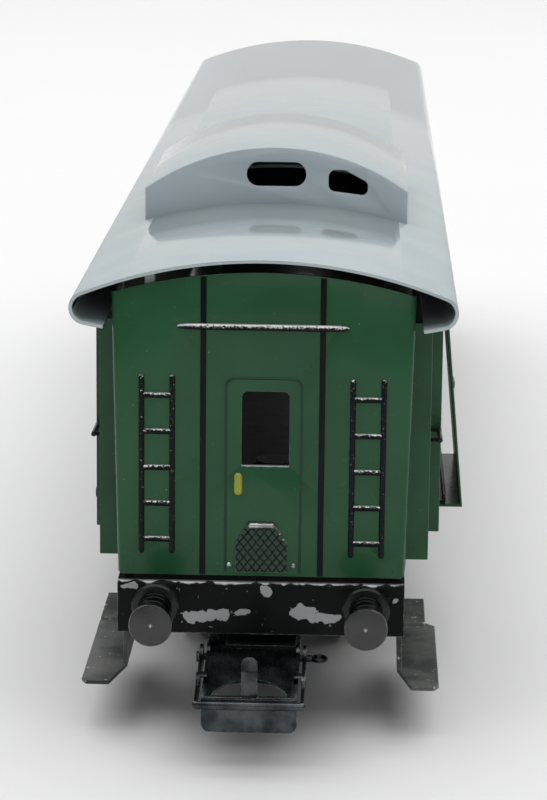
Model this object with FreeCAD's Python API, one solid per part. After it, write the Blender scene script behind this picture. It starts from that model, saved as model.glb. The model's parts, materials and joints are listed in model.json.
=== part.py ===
import FreeCAD, Part
import math
import os

from FreeCAD import Vector

# Bogie luggage van with a raised guard's lookout, 1:87, running on 16.5 mm gauge track.
# Pressed tinplate body, roof and underframe, turned buffers, sheet-metal couplers.
# Millimetres. +Z is up, Y runs along the van, X across it. The origin is on the floor that
# the wheel flanges stand on, under the middle of the van. The front end faces -Y.
# Front parts are drawn with Y = 0 on the outside of the end wall, growing into the van,
# and "place_front" and "place_rear" put them at the two ends.

ORIGIN = Vector(0, 0, 0)
ALONG_X = Vector(1, 0, 0)
ALONG_Y = Vector(0, 1, 0)
ALONG_Z = Vector(0, 0, 1)

# Driving dimensions of the whole van
BODY_LENGTH = 206.0
ROOF_OVERHANG = 0.7
SHEET = 0.4
BUFFER_HEIGHT = 12.8
BODY_BOTTOM = 15.9
GAUGE_BACK_TO_BACK = 14.0

# End wall: a pressed sheet with its sides turned back
END_HALF_WIDTH = 13.95
END_CORNER_TOP = 43.15
END_APEX = 45.2
END_RETURN = 6.5
END_BEND = 0.5
END_FOOT_RADIUS = 0.45
WINDOW_CENTRE = 0.3
WINDOW_WIDTH = 4.5
WINDOW_BOTTOM = 26.75
WINDOW_TOP = 33.9
WINDOW_RADIUS = 0.6
DOOR_CENTRE = 0.12
DOOR_HALF_WIDTH = 3.55
DOOR_TOP = 35.15
DOOR_LINE = 0.2
DOOR_LINE_DEPTH = 0.08
STRIP_PLACE = 5.6
STRIP_WIDTH = 0.55
STRIP_PROUD = 0.12
LADDER_RAILS = (8.5, 11.4)
LADDER_BOTTOM = 18.0
LADDER_TOP = 35.4
LADDER_BAR = 0.5
LADDER_PROUD = 0.3
RUNG_TOP = 33.4
RUNG_STEP = 3.5
RUNG_COUNT = 5
HANDRAIL_HEIGHT = 40.05
HANDRAIL_HALF_LENGTH = 8.1
HANDRAIL_RADIUS = 0.32
PULL_PLACE = -2.25
PULL_WIDTH = 0.8
PULL_BOTTOM = 23.8
PULL_TOP = 26.0
PULL_PROUD = 0.35
TREAD_OUTLINE = ((-2.45, 16.3), (2.45, 16.3), (2.45, 19.1), (1.25, 21.2), (-1.25, 21.2), (-2.45, 19.1))
TREAD_PROUD = 0.2
STUD_PLACE = 3.07
STUD_HEIGHT = 16.95
STUD_RADIUS = 0.3

# Body side: a pressed sheet, stepped in at each end for the entry door
SIDE_HALF_WIDTH = 17.3
SIDE_TOP = 39.85
ENTRY_HALF_WIDTH = 16.0
ENTRY_TOP = 39.4
ENTRY_START = 6.6
ENTRY_END = 17.0
LAP_HALF_WIDTH = 13.5
LAP_START = 4.5
FLANGE_INNER = 12.4
LUG_LENGTH = 6.0
LUG_PLACES = (20.0, 55.0, 90.0)
ENTRY_WINDOW = (9.2, 14.6, 29.6, 36.6)
ENTRY_HANDLE_HEIGHT = 26.6
ENTRY_HANDLE = (12.2, 16.4)
ENTRY_HANDLE_RADIUS = 0.25
ENTRY_HANDLE_LEG = 0.2
ENTRY_HANDLE_REACH = 1.1
SIDE_WINDOW_CENTRES = (79.0, 91.0, 103.0)
SIDE_WINDOW_WIDTH = 6.0
SIDE_WINDOW_BOTTOM = 27.5
SIDE_WINDOW_TOP = 35.0

# Sliding luggage doors, hung on the top edge of the side, lower edge standing off
DOORWAY_START = 27.5
DOORWAY_WIDTH = 19.0
DOORWAY_SILL = 17.6
DOORWAY_HEAD = 37.0
LEAF_START = 26.0
LEAF_WIDTH = 22.0
LEAF_TOP = 39.6
LEAF_BOTTOM = 16.1
LEAF_TOP_OUTER = 17.75
LEAF_BOTTOM_OUTER = 19.95
LEAF_SHEET = 0.3
DOOR_TRAVEL = 20.0
HOOK_OUTER = 16.75
HOOK_DROP = 1.1
NOTCH_TOP = 39.2
NOTCH_MARGIN = 0.6
LEAF_WINDOW = (7.0, 15.0, 28.5, 35.0)
LEAF_HANDLE_HEIGHT = 25.2
LEAF_HANDLE = (17.5, 20.5)
RAIL_REACH = 0.9
RAIL_BOTTOM = 16.65
RAIL_SHEET = 0.3
RAIL_LIP = 0.9

# Roof: an arched sheet with rounded eaves turned in to a lip
ROOF_SHEET = 0.35
ROOF_RADIUS = 46.0
ROOF_APEX = 46.55
ROOF_EAVE_START = 17.2
ROOF_EAVE_RADIUS = 1.6
ROOF_LIP_EDGE = 15.0
ROOF_LIP_ANGLE = 11.0
CLIP_PLACE = -10.7
CLIP_WIDTH = 0.9
CLIP_SHEET = 0.3
CLIP_START = 0.65
CLIP_BOTTOM = 40.5

# Guard's lookout on the roof
LOOKOUT_START = 34.0
LOOKOUT_LENGTH = 29.0
LOOKOUT_HALF_WIDTH = 13.75
LOOKOUT_SHOULDER = 47.85
LOOKOUT_APEX = 52.35
LOOKOUT_FOOT = 43.0
SLOT_HALF_LENGTH = 3.1
SLOT_HEIGHT = 49.5
SLOT_DEPTH = 2.55
WEDGE_OUTLINE = ((5.45, 50.05), (7.2, 50.0), (9.55, 48.75), (9.55, 47.35), (5.45, 47.85))
WEDGE_RADIUS = 0.55

# Underframe: one pressed plate, bent down at the ends as buffer beams
FLOOR_TOP = 15.3
FLOOR_HALF_WIDTH = 13.7
BEAM_FRONT = -0.2
BEAM_BOTTOM = 10.15
BEAM_BEND = 0.5
SOLE_BOTTOM = 12.3
SOLE_START = 73.0

# Step brackets, one at each corner
HANGER_OUTER = 13.6
HANGER_OUTLINE = ((0.3, 14.9), (15.0, 14.9), (15.0, 5.1), (5.0, 5.1), (5.0, 9.6), (3.8, 10.4), (0.3, 10.4))
UPPER_TREAD = (6.3, 14.5, 15.9, 9.2)
LOWER_TREAD = (-0.6, 20.0, 17.2, 4.9)
TREAD_TAPER = (1.3, 5.0)
TREAD_CHAMFER = 0.9
TREAD_LIP = 0.5

# Turned buffers
BUFFER_PLACE = 10.05
BUFFER_FACE = -6.7
BUFFER_HEAD_RADIUS = 2.05
BUFFER_HEAD_THICK = 0.75
BUFFER_SHANK_RADIUS = 1.4
BUFFER_RING_RADIUS = 1.6
BUFFER_FLANGE_RADIUS = 2.3
BUFFER_FLANGE_THICK = 0.7
BUFFER_STEM_RADIUS = 0.85
BUFFER_STEM_HOLE = 0.9
BUFFER_RIVET_RADIUS = 1.35
BUFFER_RIVET_THICK = 0.45

# Bogies
PIVOT_PLACE = 46.0
WHEELBASE = 28.0
AXLE_HEIGHT = 6.4
TREAD_RADIUS = 5.3
FLANGE_THICK = 0.9
WHEEL_WIDTH = 3.1
WHEEL_RIM = 0.9
WHEEL_DISH = 0.5
HUB_RADIUS = 1.9
AXLE_RADIUS = 1.0
AXLE_SHOULDER = 11.35
AXLE_PIN_RADIUS = 0.7
AXLE_PIN_HOLE = 0.76
AXLE_PIN_END = 12.6
BOGIE_TOP = 13.5
BOGIE_HALF_LENGTH = 19.0
BOGIE_HALF_WIDTH = 12.0
BOGIE_TRIM = 0.9
BOGIE_SILL = 9.4
BOX_HALF_WIDTH = 1.8
BOX_OUTER = 13.1
BOX_BOTTOM = 4.6
BOX_TOP = 8.4
SPRING_HALF_LENGTH = 4.2
SPRING_LEAVES = 3
SPRING_LEAF = 0.5
SPRING_PROUD = 0.6
PIVOT_RADIUS = 1.5
PIVOT_HOLE = 1.56
PIVOT_HEAD_RADIUS = 2.6
PIVOT_HEAD_THICK = 0.6
PIVOT_GAP = 0.08
WASHER_RADIUS = 4.0

# Couplers: hook plate riveted under the bogie's tongue, with a lifting bail
COUPLER_SIDE_SET = -0.62
TONGUE_SIDE_SET = 0.1
TONGUE_HALF_WIDTH = 3.35
TONGUE_TOP = 9.3
TONGUE_END = -1.0
TONGUE_DROP_START = 26.0
TONGUE_DROP_END = 21.0
PLATE_SHEET = 0.35
PLATE_HALF_WIDTH = 4.45
PLATE_BACK = 7.0
PLATE_BEND = -2.0
PLATE_FRONT = -10.3
PLATE_FRONT_TOP = 7.15
PLATE_WINDOW_HALF = 3.55
PLATE_WINDOW = (-9.9, -6.95)
APRON_BOTTOM = 3.9
APRON_RADIUS = 0.8
HOOK_HALF_WIDTH = 0.75
HOOK_TOP = 10.9
HOOK_BEND = 1.1
EAR_HALF_WIDTH = 1.0
EAR_BOTTOM = 7.05
EAR_TOP = 9.55
EAR_RADIUS = 0.95
BAIL_PIVOT_Y = -0.8
BAIL_PIVOT_Z = 8.0
BAIL_PIN_RADIUS = 0.33
BAIL_PIN_HOLE = 0.4
BAIL_ARM_INNER = 4.75
BAIL_SHEET = 0.35
BAIL_BAR_HALF = 5.3
BAIL_BAR_FRONT = -11.3
BAIL_BAR_DEPTH = 0.6
BAIL_BAR_BOTTOM = 6.2
BAIL_BAR_TOP = 7.0
BAIL_LOBE_PLACE = -7.0
BAIL_LOBE_RADIUS = 1.0
BAIL_TAB_REACH = 0.75
BAIL_TAB_HALF = 0.6
BAIL_TAB_BOTTOM = 8.1
PIN_LOOP_RADIUS = 0.62
PIN_LOOP_PLACE = 6.3
COUPLER_RIVET_PLACE = 3.5
COUPLER_RIVET_RADIUS = 0.8
COUPLER_RIVET_HEAD = 1.3
COUPLER_RIVET_THICK = 0.35

HALF_LENGTH = BODY_LENGTH / 2
FLOOR_BOTTOM = FLOOR_TOP - SHEET
BOGIE_PLATE_BOTTOM = BOGIE_TOP - SHEET
TONGUE_BOTTOM = TONGUE_TOP - SHEET
FLANGE_RADIUS = AXLE_HEIGHT
WHEEL_BACK = GAUGE_BACK_TO_BACK / 2
BODY_MIDDLE = HALF_LENGTH


def block(x0, x1, y0, y1, z0, z1):
    """A box between two corners."""
    return Part.makeBox(x1 - x0, y1 - y0, z1 - z0, Vector(x0, y0, z0))


def rod(radius, start, direction, length):
    """A solid cylinder from a point along a direction."""
    return Part.makeCylinder(radius, length, start, direction)


def tube(outer, inner, start, direction, length):
    """A cylinder with a bore right through it."""
    return rod(outer, start, direction, length).cut(rod(inner, start, direction, length))


def rounded_wire(points, radius):
    """A closed wire through points in one plane, with each corner rounded."""
    edges = []
    count = len(points)
    starts = []
    ends = []
    for index in range(count):
        corner = points[index]
        before = points[index - 1].sub(corner)
        after = points[(index + 1) % count].sub(corner)
        half_angle = before.getAngle(after) / 2
        before.normalize()
        after.normalize()
        trim = radius / math.tan(half_angle)
        inward = before.add(after).normalize()
        centre = corner.add(inward * (radius / math.sin(half_angle)))
        first = corner.add(before * trim)
        last = corner.add(after * trim)
        middle = centre.add(inward * -radius)
        edges.append(Part.Arc(first, middle, last).toShape())
        starts.append(first)
        ends.append(last)
    for index in range(count):
        edges.append(Part.LineSegment(ends[index], starts[(index + 1) % count]).toShape())
    return Part.Wire(Part.__sortEdges__(edges))


def prism(points, direction):
    """A solid swept from a flat polygon."""
    wire = Part.makePolygon(list(points) + [points[0]])
    return Part.Face(wire).extrude(direction)


def rounded_prism(points, radius, direction):
    """A solid swept from a flat polygon with rounded corners."""
    return Part.Face(rounded_wire(points, radius)).extrude(direction)


def fuse_all(shapes):
    """Join shapes into one and merge faces that lie in one surface."""
    result = shapes[0]
    if len(shapes) > 1:
        result = shapes[0].multiFuse(shapes[1:])
    result = result.removeSplitter()
    if result.ShapeType == "Compound" and len(result.Solids) == 1:
        result = result.Solids[0]
    return result


def mirrored(shape):
    """The same shape on the other side of the van."""
    return shape.mirror(ORIGIN, ALONG_X)


def place_front(shape):
    """Move a shape drawn at the end wall to the front end of the van."""
    return shape.translated(Vector(0, -HALF_LENGTH, 0))


def place_rear(shape):
    """Turn a shape drawn at the end wall round to the rear end of the van."""
    return place_front(shape).rotated(ORIGIN, ALONG_Z, 180)


def upright(pairs, y):
    """Points in an upright plane across the van, from X and Z pairs."""
    return [Vector(x, y, z) for x, z in pairs]


def arch_solid(half_width, corner, apex, foot, start, length):
    """A solid under an arched top between two sides."""
    left = Vector(-half_width, start, corner)
    right = Vector(half_width, start, corner)
    low_left = Vector(-half_width, start, foot)
    low_right = Vector(half_width, start, foot)
    edges = [
        Part.Arc(left, Vector(0, start, apex), right).toShape(),
        Part.LineSegment(right, low_right).toShape(),
        Part.LineSegment(low_right, low_left).toShape(),
        Part.LineSegment(low_left, left).toShape(),
    ]
    return Part.Face(Part.Wire(edges)).extrude(ALONG_Y * length)


# ---- End wall -------------------------------------------------------------------------

def end_wall_sheet():
    """The plain pressed sheet: face and two returns, arched at the top."""
    depth = END_RETURN
    height = END_APEX - BODY_BOTTOM
    outer = block(-END_HALF_WIDTH, END_HALF_WIDTH, 0, depth, BODY_BOTTOM, END_APEX)
    corners = [edge for edge in outer.Edges if is_front_upright(edge)]
    outer = outer.makeFillet(END_BEND, corners)
    inner_half = END_HALF_WIDTH - SHEET
    inner = block(-inner_half, inner_half, SHEET, depth, BODY_BOTTOM, BODY_BOTTOM + height)
    arch = arch_solid(END_HALF_WIDTH, END_CORNER_TOP, END_APEX, BODY_BOTTOM, 0, depth)
    foot = rounded_prism(
        upright(
            (
                (-END_HALF_WIDTH, BODY_BOTTOM),
                (END_HALF_WIDTH, BODY_BOTTOM),
                (END_HALF_WIDTH, END_APEX + END_HALF_WIDTH),
                (-END_HALF_WIDTH, END_APEX + END_HALF_WIDTH),
            ),
            0,
        ),
        END_FOOT_RADIUS,
        ALONG_Y * depth,
    )
    return outer.cut(inner).common(arch).common(foot)


def is_front_upright(edge):
    """True for a straight upright edge on the outer face of the end wall."""
    first = edge.Vertexes[0].Point
    last = edge.Vertexes[-1].Point
    upright_edge = abs(first.x - last.x) < 0.01 and abs(first.y - last.y) < 0.01
    return upright_edge and abs(first.y) < 0.01


def end_wall_ladder():
    """The pressed ladder on the right of the end wall."""
    inner, outer = LADDER_RAILS
    half = LADDER_BAR / 2
    pieces = []
    for place in LADDER_RAILS:
        pieces.append(block(place - half, place + half, -LADDER_PROUD, SHEET / 2, LADDER_BOTTOM, LADDER_TOP))
    for index in range(RUNG_COUNT):
        height = RUNG_TOP - index * RUNG_STEP
        pieces.append(block(inner, outer, -LADDER_PROUD, SHEET / 2, height - half, height + half))
    return pieces


def end_wall_strip():
    """The pressed cover strip on the right of the end wall, following the arch."""
    half = STRIP_WIDTH / 2
    arch = arch_solid(END_HALF_WIDTH, END_CORNER_TOP, END_APEX, BODY_BOTTOM, -STRIP_PROUD, SHEET)
    strip = block(STRIP_PLACE - half, STRIP_PLACE + half, -STRIP_PROUD, SHEET / 2, BODY_BOTTOM, END_APEX)
    return strip.common(arch)


def end_door_line():
    """The shallow pressed line round the end door."""
    left = DOOR_CENTRE - DOOR_HALF_WIDTH
    right = DOOR_CENTRE + DOOR_HALF_WIDTH
    outer = block(left, right, 0, DOOR_LINE_DEPTH, BODY_BOTTOM, DOOR_TOP)
    inner = block(left + DOOR_LINE, right - DOOR_LINE, 0, DOOR_LINE_DEPTH, BODY_BOTTOM, DOOR_TOP - DOOR_LINE)
    return outer.cut(inner)


def window_cutter(centre, width, bottom, top, radius):
    """A window hole through the end wall, rounded at its two upper corners."""
    left = centre - width / 2
    right = centre + width / 2
    middle = (bottom + top) / 2
    outline = ((left, bottom), (right, bottom), (right, top), (left, top))
    rounded = rounded_prism(upright(outline, -1), radius, ALONG_Y * 2)
    return rounded.fuse(block(left, right, -1, 1, bottom, middle)).removeSplitter()


def end_wall():
    """The whole end wall with its pressed ladders, strips, door, pull and tread."""
    pieces = [end_wall_sheet()]
    for ladder_piece in end_wall_ladder():
        pieces.append(ladder_piece)
        pieces.append(mirrored(ladder_piece))
    strip = end_wall_strip()
    pieces.append(strip)
    pieces.append(mirrored(strip))
    rail_start = Vector(-HANDRAIL_HALF_LENGTH, 0, HANDRAIL_HEIGHT)
    pieces.append(rod(HANDRAIL_RADIUS, rail_start, ALONG_X, 2 * HANDRAIL_HALF_LENGTH))
    pull_half = PULL_WIDTH / 2
    pull_left = PULL_PLACE - pull_half
    pieces.append(block(pull_left, pull_left + PULL_WIDTH, -PULL_PROUD, SHEET / 2, PULL_BOTTOM, PULL_TOP))
    pieces.append(prism(upright(TREAD_OUTLINE, -TREAD_PROUD), ALONG_Y * (TREAD_PROUD + SHEET / 2)))
    for place in (-STUD_PLACE, STUD_PLACE):
        pieces.append(rod(STUD_RADIUS, Vector(place, -TREAD_PROUD, STUD_HEIGHT), ALONG_Y, TREAD_PROUD + SHEET / 2))
    wall = fuse_all(pieces).cut(end_door_line())
    return wall.cut(window_cutter(WINDOW_CENTRE, WINDOW_WIDTH, WINDOW_BOTTOM, WINDOW_TOP, WINDOW_RADIUS))


# ---- Body side ------------------------------------------------------------------------

def side_half():
    """Right-hand body side from the front lap to the middle of the van."""
    inner_entry = ENTRY_HALF_WIDTH - SHEET
    inner_side = SIDE_HALF_WIDTH - SHEET
    inner_lap = LAP_HALF_WIDTH - SHEET
    bottom = BODY_BOTTOM
    pieces = [
        block(inner_lap, LAP_HALF_WIDTH, LAP_START, ENTRY_START + SHEET, bottom, ENTRY_TOP),
        block(inner_lap, ENTRY_HALF_WIDTH, ENTRY_START, ENTRY_START + SHEET, bottom, ENTRY_TOP),
        block(inner_entry, ENTRY_HALF_WIDTH, ENTRY_START, ENTRY_END + SHEET, bottom, ENTRY_TOP),
        block(inner_entry, SIDE_HALF_WIDTH, ENTRY_END, ENTRY_END + SHEET, bottom, SIDE_TOP),
        block(inner_side, SIDE_HALF_WIDTH, ENTRY_END, BODY_MIDDLE, bottom, SIDE_TOP),
        block(FLANGE_INNER, SIDE_HALF_WIDTH - SHEET / 2, ENTRY_END, BODY_MIDDLE, bottom, bottom + SHEET),
    ]
    for place in LUG_PLACES:
        pieces.append(block(FLANGE_INNER, FLANGE_INNER + SHEET, place, place + LUG_LENGTH, FLOOR_TOP, bottom + SHEET))
    return fuse_all(pieces)


def side_openings():
    """Holes of the right-hand side's front half: windows, doorway and door notch."""
    y0, y1, z0, z1 = ENTRY_WINDOW
    past = 1.0
    cutters = [block(ENTRY_HALF_WIDTH - past, ENTRY_HALF_WIDTH + past, y0, y1, z0, z1)]
    doorway_end = DOORWAY_START + DOORWAY_WIDTH
    inner = SIDE_HALF_WIDTH - past
    outer = SIDE_HALF_WIDTH + past
    cutters.append(block(inner, outer, DOORWAY_START, doorway_end, DOORWAY_SILL, DOORWAY_HEAD))
    notch_end = LEAF_START + LEAF_WIDTH + DOOR_TRAVEL + NOTCH_MARGIN
    cutters.append(block(inner, outer, LEAF_START - NOTCH_MARGIN, notch_end, NOTCH_TOP, SIDE_TOP + past))
    half = SIDE_WINDOW_WIDTH / 2
    for centre in SIDE_WINDOW_CENTRES:
        cutters.append(block(inner, outer, centre - half, centre + half, SIDE_WINDOW_BOTTOM, SIDE_WINDOW_TOP))
    return cutters


def body_side_right():
    """The whole right-hand body side, in the van's own frame."""
    half = side_half()
    for cutter in side_openings():
        half = half.cut(cutter)
    front = place_front(half)
    rear = front.mirror(ORIGIN, ALONG_Y)
    return fuse_all([front, rear])


def entry_handle():
    """The wire handle on the front right entry door."""
    start, end = ENTRY_HANDLE
    door = ENTRY_HALF_WIDTH
    reach = door + ENTRY_HANDLE_REACH
    height = ENTRY_HANDLE_HEIGHT
    radius = ENTRY_HANDLE_RADIUS
    bar_start = start - radius
    bar = rod(radius, Vector(reach, bar_start, height), ALONG_Y, end - start + 2 * radius)
    legs = []
    for place in (start, end):
        legs.append(rod(ENTRY_HANDLE_LEG, Vector(door, place, height), ALONG_X, ENTRY_HANDLE_REACH))
    return fuse_all([bar] + legs)


# ---- Sliding doors --------------------------------------------------------------------

def sliding_door():
    """The front right luggage door: a leaning leaf with a top hook and a lower flange."""
    y0 = LEAF_START
    sheet = LEAF_SHEET
    inner_top = LEAF_TOP_OUTER - sheet
    inner_bottom = LEAF_BOTTOM_OUTER - sheet
    hook_inner = HOOK_OUTER - sheet
    flange_end = SIDE_HALF_WIDTH + 0.2
    hook_bottom = LEAF_TOP - HOOK_DROP
    outline = (
        (LEAF_BOTTOM_OUTER, LEAF_BOTTOM),
        (LEAF_TOP_OUTER, LEAF_TOP),
        (hook_inner, LEAF_TOP),
        (hook_inner, hook_bottom),
        (HOOK_OUTER, hook_bottom),
        (HOOK_OUTER, LEAF_TOP - sheet),
        (inner_top, LEAF_TOP - sheet),
        (inner_bottom, LEAF_BOTTOM + sheet),
        (flange_end, LEAF_BOTTOM + sheet),
        (flange_end, LEAF_BOTTOM),
    )
    leaf = prism(upright(outline, y0), ALONG_Y * LEAF_WIDTH)
    w0, w1, z0, z1 = LEAF_WINDOW
    leaf = leaf.cut(block(SIDE_HALF_WIDTH, LEAF_BOTTOM_OUTER, y0 + w0, y0 + w1, z0, z1))
    return fuse_all([leaf, door_pull()])


def leaf_outer_at(height):
    """X of the leaf's outer surface at a height."""
    slope = (LEAF_TOP_OUTER - LEAF_BOTTOM_OUTER) / (LEAF_TOP - LEAF_BOTTOM)
    return LEAF_BOTTOM_OUTER + slope * (height - LEAF_BOTTOM)


def door_pull():
    """The small pressed pull on a door leaf."""
    start, end = LEAF_HANDLE
    half = 0.35
    surface = leaf_outer_at(LEAF_HANDLE_HEIGHT)
    low = LEAF_HANDLE_HEIGHT - half
    high = LEAF_HANDLE_HEIGHT + half
    return block(surface - LEAF_SHEET / 2, surface + half, LEAF_START + start, LEAF_START + end, low, high)


def door_rail():
    """The lower guide strip of the front right door, fixed to the body side."""
    start = LEAF_START - NOTCH_MARGIN
    end = LEAF_START + LEAF_WIDTH + DOOR_TRAVEL + NOTCH_MARGIN
    reach = SIDE_HALF_WIDTH + RAIL_REACH
    foot = block(SIDE_HALF_WIDTH, reach, start, end, RAIL_BOTTOM, RAIL_BOTTOM + RAIL_SHEET)
    lip = block(reach - RAIL_SHEET, reach, start, end, RAIL_BOTTOM, RAIL_BOTTOM + RAIL_LIP)
    return fuse_all([foot, lip])


# ---- Roof -----------------------------------------------------------------------------

def roof_profile(offset, y):
    """Edges of the right half of the roof's section, moved inwards by an offset."""
    radius = ROOF_RADIUS - offset
    eave = ROOF_EAVE_RADIUS - offset
    centre_z = ROOF_APEX - ROOF_RADIUS
    start_angle = math.asin(ROOF_EAVE_START / ROOF_RADIUS)
    lip = math.radians(ROOF_LIP_ANGLE)
    inset = ROOF_RADIUS - ROOF_EAVE_RADIUS
    eave_x = inset * math.sin(start_angle)
    eave_z = centre_z + inset * math.cos(start_angle)
    apex = Vector(0, y, centre_z + radius)
    half = start_angle / 2
    shoulder = Vector(radius * math.sin(half), y, centre_z + radius * math.cos(half))
    join = Vector(radius * math.sin(start_angle), y, centre_z + radius * math.cos(start_angle))
    widest = Vector(eave_x + eave, y, eave_z)
    turn = Vector(eave_x + eave * math.sin(lip), y, eave_z - eave * math.cos(lip))
    length = (turn.x - ROOF_LIP_EDGE) / math.cos(lip)
    tip = Vector(ROOF_LIP_EDGE, y, turn.z - length * math.sin(lip))
    edges = [
        Part.Arc(apex, shoulder, join).toShape(),
        Part.Arc(join, widest, turn).toShape(),
        Part.LineSegment(turn, tip).toShape(),
    ]
    return edges, apex, tip


def roof_half(start, length):
    """The right half of the roof sheet."""
    outer, outer_apex, outer_tip = roof_profile(0, start)
    inner, inner_apex, inner_tip = roof_profile(ROOF_SHEET, start)
    close_tip = Part.LineSegment(outer_tip, inner_tip).toShape()
    close_apex = Part.LineSegment(inner_apex, outer_apex).toShape()
    edges = outer + inner + [close_tip, close_apex]
    wire = Part.Wire(Part.__sortEdges__(edges))
    return Part.Face(wire).extrude(ALONG_Y * length)


def under_roof(start, length):
    """All the space below the roof's outer arch."""
    centre = Vector(0, start, ROOF_APEX - ROOF_RADIUS)
    return rod(ROOF_RADIUS, centre, ALONG_Y, length)


def roof_clip():
    """The small tab under the roof that hooks behind the end wall, on the left."""
    half = CLIP_WIDTH / 2
    place = CLIP_PLACE
    top = ROOF_APEX - ROOF_RADIUS + math.sqrt(ROOF_RADIUS ** 2 - (abs(place) + half) ** 2) - ROOF_SHEET / 2
    return block(place - half, place + half, CLIP_START, CLIP_START + CLIP_SHEET, CLIP_BOTTOM, top)


def roof():
    """The whole roof with its clips and the hole under the lookout."""
    length = BODY_LENGTH + 2 * ROOF_OVERHANG
    half = roof_half(-length / 2, length)
    clip = roof_clip()
    sheet = fuse_all([half, mirrored(half), place_front(clip), place_rear(clip)])
    hole_half = LOOKOUT_HALF_WIDTH - 1.0
    start = LOOKOUT_START + 1.0
    end = LOOKOUT_START + LOOKOUT_LENGTH - 1.0
    hole = block(-hole_half, hole_half, start, end, FLOOR_TOP, LOOKOUT_APEX)
    return sheet.cut(place_front(hole))


# ---- Lookout --------------------------------------------------------------------------

def lookout_cover():
    """Arched top and upright sides of the lookout."""
    outer = arch_solid(
        LOOKOUT_HALF_WIDTH, LOOKOUT_SHOULDER, LOOKOUT_APEX, LOOKOUT_FOOT, LOOKOUT_START, LOOKOUT_LENGTH
    )
    inner = arch_solid(
        LOOKOUT_HALF_WIDTH - SHEET,
        LOOKOUT_SHOULDER - SHEET,
        LOOKOUT_APEX - SHEET,
        LOOKOUT_FOOT,
        LOOKOUT_START,
        LOOKOUT_LENGTH,
    )
    cover = outer.cut(inner).cut(under_roof(LOOKOUT_START - 1, LOOKOUT_LENGTH + 2))
    return place_front(cover)


def lookout_panel():
    """The front panel of the lookout with its slot and its wedge-shaped light."""
    panel = arch_solid(
        LOOKOUT_HALF_WIDTH - SHEET,
        LOOKOUT_SHOULDER - SHEET,
        LOOKOUT_APEX - SHEET,
        LOOKOUT_FOOT,
        LOOKOUT_START,
        SHEET,
    )
    panel = panel.cut(under_roof(LOOKOUT_START - 1, SHEET + 2))
    half = SLOT_DEPTH / 2
    low = SLOT_HEIGHT - half
    high = SLOT_HEIGHT + half
    slot = (
        (-SLOT_HALF_LENGTH, low), (SLOT_HALF_LENGTH, low), (SLOT_HALF_LENGTH, high), (-SLOT_HALF_LENGTH, high)
    )
    past = LOOKOUT_START - 1
    panel = panel.cut(rounded_prism(upright(slot, past), half - 0.05, ALONG_Y * 3))
    return panel.cut(rounded_prism(upright(WEDGE_OUTLINE, past), WEDGE_RADIUS, ALONG_Y * 3))


def lookout_panel_rear():
    """The rear panel: the front one turned to face the other way."""
    middle = LOOKOUT_START + LOOKOUT_LENGTH / 2
    return lookout_panel().rotated(Vector(0, middle, 0), ALONG_Z, 180)


# ---- Underframe -----------------------------------------------------------------------

def underframe():
    """The floor plate with both buffer beams and the sole bars between the bogies."""
    front = BEAM_FRONT - HALF_LENGTH
    half = FLOOR_HALF_WIDTH
    outer = block(-half, half, front, -front, BEAM_BOTTOM, FLOOR_TOP)
    bends = [edge for edge in outer.Edges if is_beam_bend(edge, front)]
    outer = outer.makeFillet(BEAM_BEND, bends)
    inside = block(-half, half, front + SHEET, -front - SHEET, BEAM_BOTTOM, FLOOR_BOTTOM)
    plate = outer.cut(inside)
    sole_start = SOLE_START - HALF_LENGTH
    soles = []
    for side in (-1, 1):
        edge = side * half
        inner = side * (half - SHEET)
        soles.append(block(min(edge, inner), max(edge, inner), sole_start, -sole_start, SOLE_BOTTOM, FLOOR_TOP))
    plate = fuse_all([plate] + soles)
    for place in (-BUFFER_PLACE, BUFFER_PLACE):
        start = Vector(place, front - 1, BUFFER_HEIGHT)
        plate = plate.cut(rod(BUFFER_STEM_HOLE, start, ALONG_Y, 3))
        start = Vector(place, -front - 2, BUFFER_HEIGHT)
        plate = plate.cut(rod(BUFFER_STEM_HOLE, start, ALONG_Y, 3))
    for pivot in (PIVOT_PLACE - HALF_LENGTH, HALF_LENGTH - PIVOT_PLACE):
        plate = plate.cut(rod(PIVOT_RADIUS, Vector(0, pivot, FLOOR_BOTTOM - 1), ALONG_Z, 3))
    return plate


def is_beam_bend(edge, front):
    """True for the long top edge of a buffer beam."""
    first = edge.Vertexes[0].Point
    last = edge.Vertexes[-1].Point
    across = abs(first.x - last.x) > 1
    at_top = abs(first.z - FLOOR_TOP) < 0.01 and abs(last.z - FLOOR_TOP) < 0.01
    return across and at_top and abs(abs(first.y) - abs(front)) < 0.01


def step_bracket():
    """The front right step bracket: hanger plate and two treads."""
    inner = HANGER_OUTER - SHEET
    hanger = prism([Vector(inner, y, z) for y, z in HANGER_OUTLINE], ALONG_X * SHEET)
    y0, y1, reach, height = UPPER_TREAD
    upper = block(inner, reach, y0, y1, height, height + SHEET)
    y0, y1, reach, height = LOWER_TREAD
    chamfer = TREAD_CHAMFER
    taper, taper_end = TREAD_TAPER
    plan = (
        (inner + taper, y0), (reach - chamfer / 2, y0), (reach, y0 + chamfer), (reach, y1 - chamfer),
        (reach - chamfer, y1), (inner, y1), (inner, taper_end),
    )
    lower = prism([Vector(x, y, height) for x, y in plan], ALONG_Z * SHEET)
    return fuse_all([hanger, upper, lower])


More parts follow.
